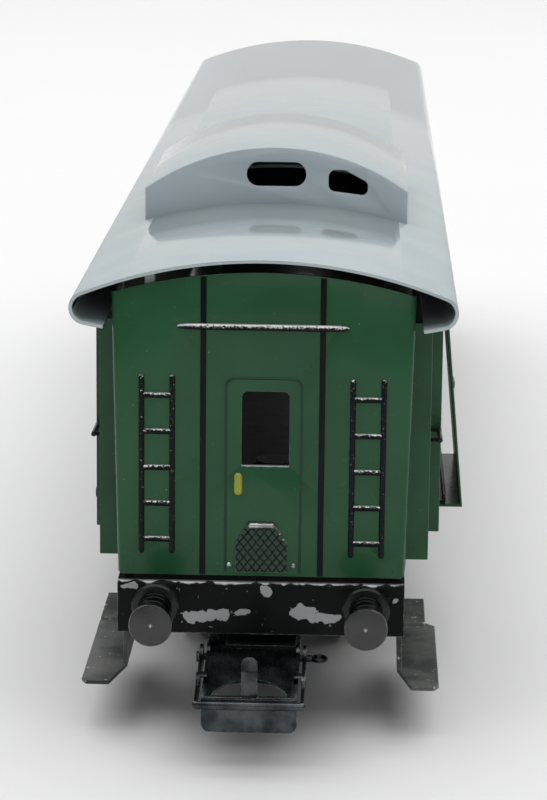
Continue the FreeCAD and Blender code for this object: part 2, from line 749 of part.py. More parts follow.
def buffer_turned():
    """A front right buffer: head, ringed shank, base flange and riveted stem."""
    place = BUFFER_PLACE
    height = BUFFER_HEIGHT
    back = BEAM_FRONT
    profile = [
        (0, BUFFER_FACE),
        (BUFFER_HEAD_RADIUS - 0.15, BUFFER_FACE),
        (BUFFER_HEAD_RADIUS, BUFFER_FACE + 0.15),
        (BUFFER_HEAD_RADIUS, BUFFER_FACE + BUFFER_HEAD_THICK - 0.15),
        (BUFFER_SHANK_RADIUS, BUFFER_FACE + BUFFER_HEAD_THICK + 0.15),
        (BUFFER_SHANK_RADIUS, BUFFER_FACE + 3.2),
        (BUFFER_RING_RADIUS, BUFFER_FACE + 3.4),
        (BUFFER_RING_RADIUS, back - BUFFER_FLANGE_THICK),
        (BUFFER_FLANGE_RADIUS, back - BUFFER_FLANGE_THICK),
        (BUFFER_FLANGE_RADIUS, back),
        (BUFFER_STEM_RADIUS, back),
        (BUFFER_STEM_RADIUS, back + SHEET),
        (BUFFER_RIVET_RADIUS, back + SHEET),
        (BUFFER_RIVET_RADIUS - 0.2, back + SHEET + BUFFER_RIVET_THICK),
        (0, back + SHEET + BUFFER_RIVET_THICK),
    ]
    points = [Vector(place + r, y, height) for r, y in profile]
    face = Part.Face(Part.makePolygon(points + [points[0]]))
    return face.revolve(Vector(place, 0, height), ALONG_Y, 360)


# ---- Bogie ----------------------------------------------------------------------------

def bogie_side():
    """The right-hand side frame with its axle boxes and leaf springs."""
    inner = BOGIE_HALF_WIDTH - SHEET
    outer = BOGIE_HALF_WIDTH
    axle = WHEELBASE / 2
    box_half = BOX_HALF_WIDTH + BOGIE_TRIM
    outline = (
        (-BOGIE_HALF_LENGTH, BOGIE_TOP),
        (-BOGIE_HALF_LENGTH, BOGIE_SILL),
        (-axle - box_half, BOGIE_SILL - 1),
        (-axle - box_half, BOX_BOTTOM),
        (-axle + box_half, BOX_BOTTOM),
        (-axle + box_half, BOGIE_SILL - 1),
        (-axle + 2 * box_half, BOGIE_SILL),
        (axle - 2 * box_half, BOGIE_SILL),
        (axle - box_half, BOGIE_SILL - 1),
        (axle - box_half, BOX_BOTTOM),
        (axle + box_half, BOX_BOTTOM),
        (axle + box_half, BOGIE_SILL - 1),
        (BOGIE_HALF_LENGTH, BOGIE_SILL),
        (BOGIE_HALF_LENGTH, BOGIE_TOP),
    )
    pieces = [prism([Vector(inner, y, z) for y, z in outline], ALONG_X * SHEET)]
    for place in (-axle, axle):
        pieces.append(block(outer - SHEET / 2, BOX_OUTER, place - BOX_HALF_WIDTH, place + BOX_HALF_WIDTH,
                            BOX_BOTTOM, BOX_TOP))
        for leaf in range(SPRING_LEAVES):
            low = BOX_TOP + leaf * SPRING_LEAF
            half = SPRING_HALF_LENGTH * (leaf + 1) / SPRING_LEAVES
            pieces.append(block(outer - SHEET / 2, outer + SPRING_PROUD, place - half, place + half,
                                low, low + SPRING_LEAF))
    side = fuse_all(pieces)
    for place in (-axle, axle):
        side = side.cut(rod(AXLE_PIN_HOLE, Vector(inner - 1, place, AXLE_HEIGHT), ALONG_X, AXLE_PIN_END + 1.2 - inner))
    return side


def bogie_tongue():
    """The tongue that carries the coupler, stepped down from the bogie's top plate."""
    left = TONGUE_SIDE_SET - TONGUE_HALF_WIDTH
    width = 2 * TONGUE_HALF_WIDTH
    back = PIVOT_PLACE - BOGIE_HALF_LENGTH + 1
    outline = (
        (back, BOGIE_TOP),
        (TONGUE_DROP_START, BOGIE_TOP),
        (TONGUE_DROP_END, TONGUE_TOP),
        (TONGUE_END, TONGUE_TOP),
        (TONGUE_END, TONGUE_BOTTOM),
        (TONGUE_DROP_END, TONGUE_BOTTOM),
        (TONGUE_DROP_START, BOGIE_PLATE_BOTTOM),
        (back, BOGIE_PLATE_BOTTOM),
    )
    tongue = prism([Vector(left, y, z) for y, z in outline], ALONG_X * width)
    hole = rod(
        COUPLER_RIVET_RADIUS, Vector(COUPLER_SIDE_SET, COUPLER_RIVET_PLACE, TONGUE_BOTTOM - 1), ALONG_Z, 3
    )
    return tongue.cut(hole)


def bogie_frame():
    """The front bogie frame, drawn at its place under the front half."""
    side = bogie_side()
    half_length = BOGIE_HALF_LENGTH
    top = block(-BOGIE_HALF_WIDTH, BOGIE_HALF_WIDTH, -half_length, half_length, BOGIE_PLATE_BOTTOM, BOGIE_TOP)
    at_pivot = Vector(0, PIVOT_PLACE, 0)
    pieces = [shape.translated(at_pivot) for shape in (top, side, mirrored(side))]
    frame = fuse_all(pieces + [bogie_tongue()])
    return frame.cut(rod(PIVOT_HOLE, Vector(0, PIVOT_PLACE, BOGIE_PLATE_BOTTOM - 1), ALONG_Z, 3))


def pivot_rivet():
    """The shouldered rivet that holds the front bogie under the floor."""
    low = BOGIE_PLATE_BOTTOM - PIVOT_GAP
    top = FLOOR_TOP
    profile = (
        (0, low - PIVOT_HEAD_THICK),
        (PIVOT_HEAD_RADIUS, low - PIVOT_HEAD_THICK),
        (PIVOT_HEAD_RADIUS, low),
        (PIVOT_RADIUS, low),
        (PIVOT_RADIUS, top),
        (PIVOT_HEAD_RADIUS, top),
        (PIVOT_HEAD_RADIUS - 0.3, top + PIVOT_HEAD_THICK),
        (0, top + PIVOT_HEAD_THICK),
    )
    points = [Vector(r, PIVOT_PLACE, z) for r, z in profile]
    face = Part.Face(Part.makePolygon(points + [points[0]]))
    return face.revolve(Vector(0, PIVOT_PLACE, 0), ALONG_Z, 360)


def pivot_washer():
    """The spacing washer between the floor and the front bogie."""
    low = BOGIE_TOP + PIVOT_GAP
    return tube(WASHER_RADIUS, PIVOT_RADIUS, Vector(0, PIVOT_PLACE, low), ALONG_Z, FLOOR_BOTTOM - low)


def wheel(side):
    """One flanged wheel on the axle at Y = 0; side is -1 for left and 1 for right."""
    tread_start = WHEEL_BACK + FLANGE_THICK
    outer = WHEEL_BACK + WHEEL_WIDTH
    web = outer - WHEEL_DISH
    rim = TREAD_RADIUS - WHEEL_RIM
    profile = (
        (AXLE_RADIUS, WHEEL_BACK),
        (FLANGE_RADIUS - 0.3, WHEEL_BACK),
        (FLANGE_RADIUS, WHEEL_BACK + 0.3),
        (FLANGE_RADIUS, WHEEL_BACK + 0.5),
        (TREAD_RADIUS + 0.15, tread_start),
        (TREAD_RADIUS, outer),
        (rim, outer),
        (rim, web),
        (HUB_RADIUS, web),
        (HUB_RADIUS, outer),
        (AXLE_RADIUS, outer),
    )
    points = [Vector(x, 0, AXLE_HEIGHT + r) for r, x in profile]
    face = Part.Face(Part.makePolygon(points + [points[0]]))
    solid = face.revolve(Vector(0, 0, AXLE_HEIGHT), ALONG_X, 360)
    return solid if side > 0 else mirrored(solid)


def axle():
    """An axle at Y = 0 with a reduced pin at each end."""
    shaft = rod(AXLE_RADIUS, Vector(-AXLE_SHOULDER, 0, AXLE_HEIGHT), ALONG_X, 2 * AXLE_SHOULDER)
    pins = rod(AXLE_PIN_RADIUS, Vector(-AXLE_PIN_END, 0, AXLE_HEIGHT), ALONG_X, 2 * AXLE_PIN_END)
    return fuse_all([shaft, pins])


# ---- Coupler --------------------------------------------------------------------------

def ear_tab(inner, thickness):
    """An upright rounded tab round the bail's pivot, with its inner face at X = inner."""
    low = BAIL_PIVOT_Y - EAR_HALF_WIDTH
    high = BAIL_PIVOT_Y + EAR_HALF_WIDTH
    corners = ((low, EAR_BOTTOM), (high, EAR_BOTTOM), (high, EAR_TOP), (low, EAR_TOP))
    return rounded_prism([Vector(inner, y, z) for y, z in corners], EAR_RADIUS, ALONG_X * thickness)


def hook_apron():
    """The apron folded down at the front of the hook plate, with rounded lower corners."""
    half = PLATE_HALF_WIDTH
    front = PLATE_FRONT - PLATE_SHEET
    apron = block(-half, half, front, PLATE_FRONT, APRON_BOTTOM, PLATE_FRONT_TOP)
    corners = [edge for edge in apron.Edges if is_apron_corner(edge)]
    return apron.makeFillet(APRON_RADIUS, corners)


def is_apron_corner(edge):
    """True for a lower edge of the apron that runs along the van."""
    first = edge.Vertexes[0].Point
    last = edge.Vertexes[-1].Point
    along = abs(first.y - last.y) > PLATE_SHEET / 2
    return along and max(first.z, last.z) < APRON_BOTTOM + 0.01


def upright_hook():
    """The hook strip that stands at the front of the hook plate, its top bent back."""
    sheet = PLATE_SHEET
    back = PLATE_FRONT + sheet
    root = PLATE_FRONT_TOP - sheet / 2
    outline = (
        (PLATE_FRONT, root),
        (PLATE_FRONT, HOOK_TOP - HOOK_BEND),
        (PLATE_FRONT + HOOK_BEND / 2, HOOK_TOP),
        (PLATE_FRONT + HOOK_BEND / 2 + sheet, HOOK_TOP - sheet / 2),
        (back, HOOK_TOP - HOOK_BEND),
        (back, root),
    )
    return prism([Vector(-HOOK_HALF_WIDTH, y, z) for y, z in outline], ALONG_X * (2 * HOOK_HALF_WIDTH))


def hook_window():
    """The D-shaped window of the hook plate, flat at the front and arched at the back."""
    front, back = PLATE_WINDOW
    half = PLATE_WINDOW_HALF
    depth = back - front
    radius = (half ** 2 + depth ** 2) / (2 * depth)
    height = TONGUE_BOTTOM + 1 - APRON_BOTTOM
    arch = rod(radius, Vector(0, back - radius, APRON_BOTTOM), ALONG_Z, height)
    return arch.common(block(-radius, radius, front, back, APRON_BOTTOM, APRON_BOTTOM + height))


def hook_plate():
    """The coupler's hook plate with its window, ears, upright hook and apron."""
    sheet = PLATE_SHEET
    top = TONGUE_BOTTOM
    half = PLATE_HALF_WIDTH
    outline = (
        (PLATE_BACK, top),
        (PLATE_BEND, top),
        (PLATE_FRONT, PLATE_FRONT_TOP),
        (PLATE_FRONT, PLATE_FRONT_TOP - sheet),
        (PLATE_BEND, top - sheet),
        (PLATE_BACK, top - sheet),
    )
    plate = prism([Vector(-half, y, z) for y, z in outline], ALONG_X * (2 * half)).cut(hook_window())
    pieces = [plate, hook_apron(), upright_hook()]
    for inner in (-half, half - sheet):
        pieces.append(ear_tab(inner, sheet))
    plate = fuse_all(pieces)
    plate = plate.cut(rod(BAIL_PIN_HOLE, Vector(-half - 1, BAIL_PIVOT_Y, BAIL_PIVOT_Z), ALONG_X, 2 * half + 2))
    hole = rod(COUPLER_RIVET_RADIUS, Vector(0, COUPLER_RIVET_PLACE, APRON_BOTTOM), ALONG_Z, TONGUE_TOP)
    return plate.cut(hole).translated(Vector(COUPLER_SIDE_SET, 0, 0))


def coupler_rivet():
    """The rivet that fixes the hook plate under the tongue."""
    top = TONGUE_TOP
    bottom = TONGUE_BOTTOM - PLATE_SHEET
    place = Vector(COUPLER_SIDE_SET, COUPLER_RIVET_PLACE, 0)
    profile = (
        (0, bottom - COUPLER_RIVET_THICK),
        (COUPLER_RIVET_HEAD, bottom - COUPLER_RIVET_THICK),
        (COUPLER_RIVET_HEAD, bottom),
        (COUPLER_RIVET_RADIUS, bottom),
        (COUPLER_RIVET_RADIUS, top),
        (COUPLER_RIVET_HEAD, top),
        (COUPLER_RIVET_HEAD - 0.2, top + COUPLER_RIVET_THICK),
        (0, top + COUPLER_RIVET_THICK),
    )
    points = [place.add(Vector(r, 0, z)) for r, z in profile]
    face = Part.Face(Part.makePolygon(points + [points[0]]))
    return face.revolve(place, ALONG_Z, 360)


def bail_arm():
    """The right-hand arm of the bail, with its ear, its raised lobe and the stop tab bent inwards."""
    inner = BAIL_ARM_INNER
    bar_back = BAIL_BAR_FRONT + BAIL_BAR_DEPTH
    outline = (
        (BAIL_PIVOT_Y, BAIL_PIVOT_Z + 0.75),
        (bar_back, BAIL_BAR_TOP),
        (BAIL_BAR_FRONT, BAIL_BAR_TOP),
        (BAIL_BAR_FRONT, BAIL_BAR_BOTTOM),
        (bar_back, BAIL_BAR_BOTTOM),
        (BAIL_PIVOT_Y, BAIL_PIVOT_Z - 0.75),
    )
    slope = (BAIL_PIVOT_Z - BAIL_BAR_BOTTOM) / (BAIL_PIVOT_Y - bar_back)
    lobe_z = BAIL_PIVOT_Z + slope * (BAIL_LOBE_PLACE - BAIL_PIVOT_Y) + BAIL_SHEET
    arm = prism([Vector(inner, y, z) for y, z in outline], ALONG_X * BAIL_SHEET)
    ear = ear_tab(inner, BAIL_SHEET)
    lobe = rod(BAIL_LOBE_RADIUS, Vector(inner, BAIL_LOBE_PLACE, lobe_z), ALONG_X, BAIL_SHEET)
    tab_start = BAIL_LOBE_PLACE - BAIL_TAB_HALF
    tab_end = BAIL_LOBE_PLACE + BAIL_TAB_HALF
    tab_top = BAIL_TAB_BOTTOM + BAIL_SHEET
    tab = block(inner - BAIL_TAB_REACH, inner + BAIL_SHEET, tab_start, tab_end, BAIL_TAB_BOTTOM, tab_top)
    hole = rod(BAIL_PIN_HOLE, Vector(inner - 1, BAIL_PIVOT_Y, BAIL_PIVOT_Z), ALONG_X, BAIL_SHEET + 2)
    return fuse_all([arm, ear, lobe, tab]).cut(hole)


def coupler_bail():
    """The lifting bail: two arms and the front bar."""
    arm = bail_arm()
    bar_back = BAIL_BAR_FRONT + BAIL_BAR_DEPTH
    bar = block(-BAIL_BAR_HALF, BAIL_BAR_HALF, BAIL_BAR_FRONT, bar_back, BAIL_BAR_BOTTOM, BAIL_BAR_TOP)
    return fuse_all([arm, mirrored(arm), bar]).translated(Vector(COUPLER_SIDE_SET, 0, 0))


def bail_pin():
    """The bail's pivot pin, with a headed left end and a wire loop on the right."""
    outer = BAIL_ARM_INNER + BAIL_SHEET + 0.1
    start = Vector(-outer, BAIL_PIVOT_Y, BAIL_PIVOT_Z)
    loop_start = PIN_LOOP_PLACE - PIN_LOOP_RADIUS
    shaft = rod(BAIL_PIN_RADIUS, start, ALONG_X, outer + loop_start)
    head = rod(1.6 * BAIL_PIN_RADIUS, Vector(-outer - 0.3, BAIL_PIVOT_Y, BAIL_PIVOT_Z), ALONG_X, 0.3)
    wire = 0.7 * BAIL_PIN_RADIUS
    loop = Part.makeTorus(PIN_LOOP_RADIUS, wire, Vector(PIN_LOOP_PLACE, BAIL_PIVOT_Y, BAIL_PIVOT_Z), ALONG_Z)
    return fuse_all([shaft, head, loop]).translated(Vector(COUPLER_SIDE_SET, 0, 0))


# ---- Assembly -------------------------------------------------------------------------

def save(name, shape):
    """Write one node's solid to its STEP file."""
    for solid in shape.Solids:
        if not solid.isValid():
            print("invalid solid in", name)
    print(f"{name:28s} solids {len(shape.Solids)} volume {shape.Volume:9.2f}")
    shape.exportStep(f"parts/{name}.step")


def save_both_ends(name, shape):
    """Save a front shape and its twin turned round to the rear."""
    save(f"{name}_front", place_front(shape))
    save(f"{name}_rear", place_rear(shape))


def save_four_corners(name, shape):
    """Save a front right shape at all four corners of the van."""
    save(f"{name}_front_right", place_front(shape))
    save(f"{name}_front_left", place_front(mirrored(shape)))
    save(f"{name}_rear_right", place_rear(mirrored(shape)))
    save(f"{name}_rear_left", place_rear(shape))


def save_body():
    """The body shell, roof, lookout and doors."""
    save_both_ends("end_wall", end_wall())
    side = body_side_right()
    save("body_side_right", side)
    save("body_side_left", mirrored(side))
    save("roof", roof())
    save("lookout_cover", lookout_cover())
    save("lookout_panel_front", place_front(lookout_panel()))
    save("lookout_panel_rear", place_front(lookout_panel_rear()))
    closed_door = sliding_door()
    open_door = closed_door.translated(ALONG_Y * DOOR_TRAVEL)
    save("sliding_door_front_right", place_front(closed_door))
    save("sliding_door_front_left", place_front(mirrored(open_door)))
    save("sliding_door_rear_right", place_rear(mirrored(open_door)))
    save("sliding_door_rear_left", place_rear(closed_door))
    save_four_corners("door_rail", door_rail())
    save_four_corners("entry_handle", entry_handle())


def save_underframe():
    """The underframe with its steps, buffers and bogie pivots."""
    save("underframe", underframe())
    save_four_corners("step_bracket", step_bracket())
    save_four_corners("buffer", buffer_turned())
    save_both_ends("pivot_rivet", pivot_rivet())
    save_both_ends("pivot_washer", pivot_washer())


def save_bogies():
    """Both bogies with their couplers, axles and wheels."""
    save_both_ends("bogie_frame", bogie_frame())
    save_both_ends("coupler_hook", hook_plate())
    save_both_ends("coupler_rivet", coupler_rivet())
    save_both_ends("coupler_bail", coupler_bail())
    save_both_ends("bail_pin", bail_pin())
    for end, turn in (("front", 0), ("rear", 180)):
        for place_name, offset in (("outer", -WHEELBASE / 2), ("inner", WHEELBASE / 2)):
            at_axle = Vector(0, PIVOT_PLACE + offset - HALF_LENGTH, 0)
            name = f"{end}_{place_name}"
            save(f"axle_{name}", axle().translated(at_axle).rotated(ORIGIN, ALONG_Z, turn))
            for side_name, side in (("left", -1), ("right", 1)):
                turned_side = side if turn == 0 else -side
                shape = wheel(turned_side).translated(at_axle).rotated(ORIGIN, ALONG_Z, turn)
                save(f"wheel_{name}_{side_name}", shape)


os.makedirs("parts", exist_ok=True)
save_body()
save_underframe()
save_bogies()
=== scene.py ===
"""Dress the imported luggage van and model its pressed, turned and bent sheet-metal pieces.

Sizes in the classes are in millimetres. Every finished piece is brought to metres, with its
place in its mesh, and rides on the body that carries it.
"""

import json
import logging
import math
from dataclasses import dataclass, field
from enum import Enum
from typing import Callable, Sequence

import bmesh
import bpy
from mathutils import Matrix, Vector


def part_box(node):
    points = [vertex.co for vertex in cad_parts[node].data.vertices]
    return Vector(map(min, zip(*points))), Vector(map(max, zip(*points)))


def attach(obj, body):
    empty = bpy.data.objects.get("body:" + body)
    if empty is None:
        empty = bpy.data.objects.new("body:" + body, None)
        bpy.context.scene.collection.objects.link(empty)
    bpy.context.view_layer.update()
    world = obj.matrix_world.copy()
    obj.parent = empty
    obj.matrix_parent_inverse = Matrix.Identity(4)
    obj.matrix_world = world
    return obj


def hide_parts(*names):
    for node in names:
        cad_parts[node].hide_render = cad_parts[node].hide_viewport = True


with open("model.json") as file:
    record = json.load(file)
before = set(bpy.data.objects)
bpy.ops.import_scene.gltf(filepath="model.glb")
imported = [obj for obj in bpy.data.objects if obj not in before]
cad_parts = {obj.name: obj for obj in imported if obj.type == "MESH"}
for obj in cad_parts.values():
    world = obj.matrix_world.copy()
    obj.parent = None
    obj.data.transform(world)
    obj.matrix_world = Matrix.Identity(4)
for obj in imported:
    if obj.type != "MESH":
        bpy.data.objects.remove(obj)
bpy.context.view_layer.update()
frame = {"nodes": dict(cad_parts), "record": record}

LOG = logging.getLogger("luggage_van")
MM = 0.001
ALONG_X = Vector((1, 0, 0))
ALONG_Y = Vector((0, 1, 0))
ALONG_Z = Vector((0, 0, 1))

SHARP_ANGLE = 35.0
FINE_EDGE = 0.06
WELD_REACH = 1e-6
FLAT_ANGLE = 0.4
ROUND_ANGLE = 40
ROD_SIDES = 20
DOME_STEPS = 5

Piece = bpy.types.Object
NodeSocket = bpy.types.NodeSocket
Colour = tuple[float, float, float]
Pair = tuple[float, float]
Outline = Sequence[Pair]
Test = Callable[[Vector], bool]


class Pick(Enum):
    """What an edit works on."""

    EDGES = "EDGE"
    POINTS = "VERT"


class End(Enum):
    """The two ends of the van."""

    FRONT = "front"
    REAR = "rear"


class Slot(Enum):
    """The record's material slots."""

    GREEN = "green_enamel"
    GREY = "grey_enamel"
    BLACK = "black_enamel"
    TURNED = "turned_steel"
    BLUED = "blued_steel"
    BARE = "bare_steel"
    WHEEL = "wheel_metal"


# ---- Modelling moves ------------------------------------------------------------------


def focus(piece: Piece) -> None:
    """Leave edit mode and choose one piece alone.

    Args:
        piece: The piece to work on next.
    """
    active = bpy.context.view_layer.objects.active
    if active is not None and active.mode != "OBJECT":
        bpy.ops.object.mode_set(mode="OBJECT")
    bpy.ops.object.select_all(action="DESELECT")
    bpy.context.view_layer.objects.active = piece
    piece.select_set(True)


def open_mesh(piece: Piece, kind: Pick) -> bmesh.types.BMesh:
    """Open a piece for editing with nothing chosen.

    Args:
        piece: The mesh to edit.
        kind: Whether edges or points are going to be chosen.

    Returns:
        The mesh under edit.
    """
    focus(piece)
    bpy.ops.object.mode_set(mode="EDIT")
    bpy.ops.mesh.select_mode(type=kind.value)
    bpy.ops.mesh.select_all(action="DESELECT")
    return bmesh.from_edit_mesh(piece.data)


def pick_points(piece: Piece, test: Test) -> None:
    """Open a piece for editing with only some of its points chosen.

    Args:
        piece: The mesh to edit.
        test: Takes a point's place and says whether to choose it.
    """
    mesh = open_mesh(piece, Pick.POINTS)
    for point in mesh.verts:
        point.select_set(test(point.co))
    mesh.select_flush_mode()
    bmesh.update_edit_mesh(piece.data)


def pick_all(piece: Piece) -> None:
    """Open a piece for editing with all of it chosen.

    Args:
        piece: The mesh to edit.
    """
    focus(piece)
    bpy.ops.object.mode_set(mode="EDIT")
    bpy.ops.mesh.select_all(action="SELECT")


def close(piece: Piece) -> Piece:
    """End an edit, with the faces turned outwards.

    Args:
        piece: The piece that was being edited.

    Returns:
        The same piece, in object mode.
    """
    bpy.ops.mesh.select_all(action="SELECT")
    bpy.ops.mesh.normals_make_consistent(inside=False)
    bpy.ops.object.mode_set(mode="OBJECT")
    return piece


def settle(name: str) -> Piece:
    """Name the primitive just added and put its place into its mesh.

    Args:
        name: The name of the new piece.

    Returns:
        The new piece.
    """
    piece = bpy.context.view_layer.objects.active
    piece.name = name
    piece.data.name = name
    bpy.ops.object.transform_apply(location=True, rotation=True, scale=True)
    return piece


def modify(piece: Piece, kind: str, **settings: object) -> Piece:
    """Add one modifier, set it up and apply it.

    Args:
        piece: The piece to change.
        kind: The modifier's type.
        **settings: The modifier's own settings.

    Returns:
        The same piece.
    """
    focus(piece)
    modifier = piece.modifiers.new(kind.title(), kind)
    for name, value in settings.items():
        setattr(modifier, name, value)
    bpy.ops.object.modifier_apply(modifier=modifier.name)
    return piece


def soften(piece: Piece, width: float, segments: int = 3, angle: float = SHARP_ANGLE) -> Piece:
    """Round every edge that is sharper than an angle.

    Args:
        piece: The piece to round.
        width: The width of the rounding.
        segments: How many steps it takes.
        angle: The smallest turn, in degrees, that is rounded.

    Returns:
        The same piece.
    """
    limit = math.radians(angle)
    settings = {"segments": segments, "limit_method": "ANGLE", "angle_limit": limit}
    return modify(piece, "BEVEL", width=width, **settings)


def carve(piece: Piece, cutter: Piece, operation: str = "DIFFERENCE") -> Piece:
    """Cut a piece with another, or keep what they share, and drop the cutter.

    Args:
        piece: The piece that stays.
        cutter: The tool, which is removed.
        operation: The boolean operation.

    Returns:
        The same piece.
    """
    modify(piece, "BOOLEAN", object=cutter, operation=operation, solver="EXACT")
    bpy.data.objects.remove(cutter)
    return piece


def block(name: str, low: Sequence[float], high: Sequence[float]) -> Piece:
    """A block between two corners, to be shaped further.

    Args:
        name: The new piece's name.
        low: Its lowest corner.
        high: Its highest corner.

    Returns:
        The new piece.
    """
    low, high = Vector(low), Vector(high)
    bpy.ops.mesh.primitive_cube_add(size=1, location=(low + high) / 2, scale=high - low)
    return settle(name)


def place_points(piece: Piece, points: Sequence[Vector]) -> None:
    """Move a mesh's points, one after another, to their places.

    Args:
        piece: The mesh, with as many points as there are places.
        points: The places, in the order of the mesh's points.
    """
    pick_all(piece)
    bpy.ops.mesh.select_mode(type=Pick.POINTS.value)
    for index, place in enumerate(points):
        bpy.ops.mesh.select_all(action="DESELECT")
        mesh = bmesh.from_edit_mesh(piece.data)
        mesh.verts.ensure_lookup_table()
        point = mesh.verts[index]
        point.select_set(True)
        bpy.ops.transform.translate(value=Vector(place) - point.co)
    bpy.ops.object.mode_set(mode="OBJECT")


def loop(name: str, points: Sequence[Vector], fill: str) -> Piece:
    """A closed outline, begun as a circle whose points are moved to their places.

    Args:
        name: The new piece's name.
        points: The outline's points.
        fill: "NGON" for a face, "NOTHING" for edges alone.

    Returns:
        The new piece.
    """
    bpy.ops.mesh.primitive_circle_add(vertices=len(points), radius=1, fill_type=fill)
    piece = settle(name)
    place_points(piece, points)
    return piece


def prism(name: str, points: Sequence[Vector], along: Vector) -> Piece:
    """A solid drawn out from a flat outline.

    Args:
        name: The new piece's name.
        points: The outline.
        along: The direction and length that it is drawn out.

    Returns:
        The new piece.
    """
    piece = loop(name, points, "NGON")
    pick_all(piece)
    bpy.ops.mesh.extrude_region_move(TRANSFORM_OT_translate={"value": along})
    return close(piece)


def open_path(name: str, points: Sequence[Vector]) -> Piece:
    """An open run of edges through points.

    Args:
        name: The new piece's name.
        points: The points, in order.

    Returns:
        The new piece.
    """
    piece = loop(name, points, "NOTHING")
    last = len(points) - 1
    mesh = open_mesh(piece, Pick.EDGES)
    for edge in mesh.edges:
        ends = {edge.verts[0].index, edge.verts[1].index}
        edge.select_set(ends == {0, last})
    bmesh.update_edit_mesh(piece.data)
    bpy.ops.mesh.delete(type="EDGE")
    bpy.ops.object.mode_set(mode="OBJECT")
    return piece


def sheet(name: str, path: Sequence[Vector], along: Vector, thickness: float, outside: Vector) -> Piece:
    """A bent sheet: an open path drawn out sideways and given its thickness inwards.

    Args:
        name: The new piece's name.
        path: The outer line of the sheet's section.
        along: The direction and length that it is drawn out.
        thickness: The sheet's thickness.
        outside: A direction that the first stretch's outer face looks towards.

    Returns:
        The new piece.
    """
    piece = open_path(name, path)
    pick_all(piece)
    bpy.ops.mesh.extrude_edges_move(TRANSFORM_OT_translate={"value": along})
    close(piece)
    start = (Vector(path[0]) + Vector(path[1])) / 2 + along / 2
    nearest = min(piece.data.polygons, key=lambda face: (face.center - start).length)
    if nearest.normal.dot(outside) < 0:
        pick_all(piece)
        bpy.ops.mesh.flip_normals()
        bpy.ops.object.mode_set(mode="OBJECT")
    return modify(piece, "SOLIDIFY", thickness=thickness, offset=-1.0, use_even_offset=True)


def turned(name: str, start: Vector, axis: Vector, profile: Outline, sides: int = 48) -> Piece:
    """A round piece built ring by ring, each extruded from the last and scaled to its radius.

    Args:
        name: The new piece's name.
        start: The point on the axis where distances start.
        axis: The direction of the axis.
        profile: Pairs of radius and distance along the axis.
        sides: How many sides the rings have.

    Returns:
        The new piece.
    """
    radius, place = profile[0]
    turn = axis.to_track_quat("Z", "Y").to_euler()
    bpy.ops.mesh.primitive_circle_add(
        vertices=sides, radius=radius, fill_type="NGON", location=start + axis * place, rotation=turn
    )
    piece = settle(name)
    pick_all(piece)
    for next_radius, next_place in profile[1:]:
        move = axis * (next_place - place)
        bpy.ops.mesh.extrude_region_move(TRANSFORM_OT_translate={"value": move})
        share = next_radius / radius
        bpy.ops.transform.resize(value=(share, share, share), center_override=start + axis * next_place)
        radius, place = next_radius, next_place
    return close(piece)


def rod(name: str, start: Vector, end: Vector, radius: float, dome: float = 1.0) -> Piece:
    """A round bar with domed ends.

    Args:
        name: The new piece's name.
        start: Its first end.
        end: Its last end.
        radius: Its radius.
        dome: How far its ends are domed, as a share of the radius.

    Returns:
        The new piece.
    """
    length = (end - start).length
    turns = [math.radians(90 * index / DOME_STEPS) for index in range(1, DOME_STEPS + 1)]
    rounding = [(radius * math.sin(turn), dome * radius * (1 - math.cos(turn))) for turn in turns]
    profile = rounding + [(r, length - place) for r, place in reversed(rounding)]
    return turned(name, start, (end - start).normalized(), profile, ROD_SIDES)


def wire(name: str, points: Sequence[Vector], radius: float, closed: bool = False) -> Piece:
    """A round wire bent through points.

    Args:
        name: The new piece's name.
        points: The points that its middle line follows.
        radius: The wire's radius.
        closed: Whether its ends meet.

    Returns:
        The new piece.
    """
    piece = loop(name, points, "NOTHING") if closed else open_path(name, points)
    focus(piece)
    bpy.ops.object.convert(target="CURVE")
    piece = bpy.context.view_layer.objects.active
    piece.data.bevel_depth = radius
    piece.data.bevel_resolution = 3
    piece.data.use_fill_caps = not closed
    bpy.ops.object.convert(target="MESH")
    return bpy.context.view_layer.objects.active


def join(name: str, pieces: Sequence[Piece]) -> Piece:
    """Make several pieces one object.

    Args:
        name: The name of the joined piece.
        pieces: The pieces; the first one stays.

    Returns:
        The joined piece.
    """
    focus(pieces[0])
    for piece in pieces[1:]:
        piece.select_set(True)
    bpy.ops.object.join()
    pieces[0].name = name
    pieces[0].data.name = name
    return pieces[0]


def copied(
    piece: Piece, name: str, turn: float = 0.0, mirror: bool = False, move: Vector = Vector()
) -> Piece:
    """A copy with a mesh of its own, moved, mirrored across the van or turned about its middle.

    Args:
        piece: The piece to copy.
        name: The copy's name.
        turn: The turn about the upright axis, in radians.
        mirror: Whether left and right change places.
        move: How far the copy is moved first.

    Returns:
        The copy.
    """
    focus(piece)
    bpy.ops.object.duplicate()
    copy = bpy.context.view_layer.objects.active
    copy.name = name
    copy.data.name = name
    copy.location = move
    bpy.ops.object.transform_apply(location=True, rotation=True, scale=True)
    copy.scale = (-1 if mirror else 1, 1, 1)
    copy.rotation_euler = (0, 0, turn)
    bpy.ops.object.transform_apply(location=True, rotation=True, scale=True)
    if mirror:
        pick_all(copy)
        close(copy)
    return copy


def arc(middle: Sequence[float], radius: float, first: float, last: float, steps: int) -> list[Pair]:
    """Points along an arc.

    Args:
        middle: The arc's centre.
        radius: Its radius.
        first: The angle where it starts, in radians.
        last: The angle where it ends.
        steps: How many steps it takes.

    Returns:
        The points, both ends among them.
    """
    turns = [first + (last - first) * step / steps for step in range(steps + 1)]
    return [(middle[0] + radius * math.cos(turn), middle[1] + radius * math.sin(turn)) for turn in turns]


def ring(middle: Pair, radius: float, count: int = 24) -> list[Pair]:
    """So many points round a full circle, none of them twice."""
    return arc(middle, radius, 0, 2 * math.pi * (count - 1) / count, count - 1)


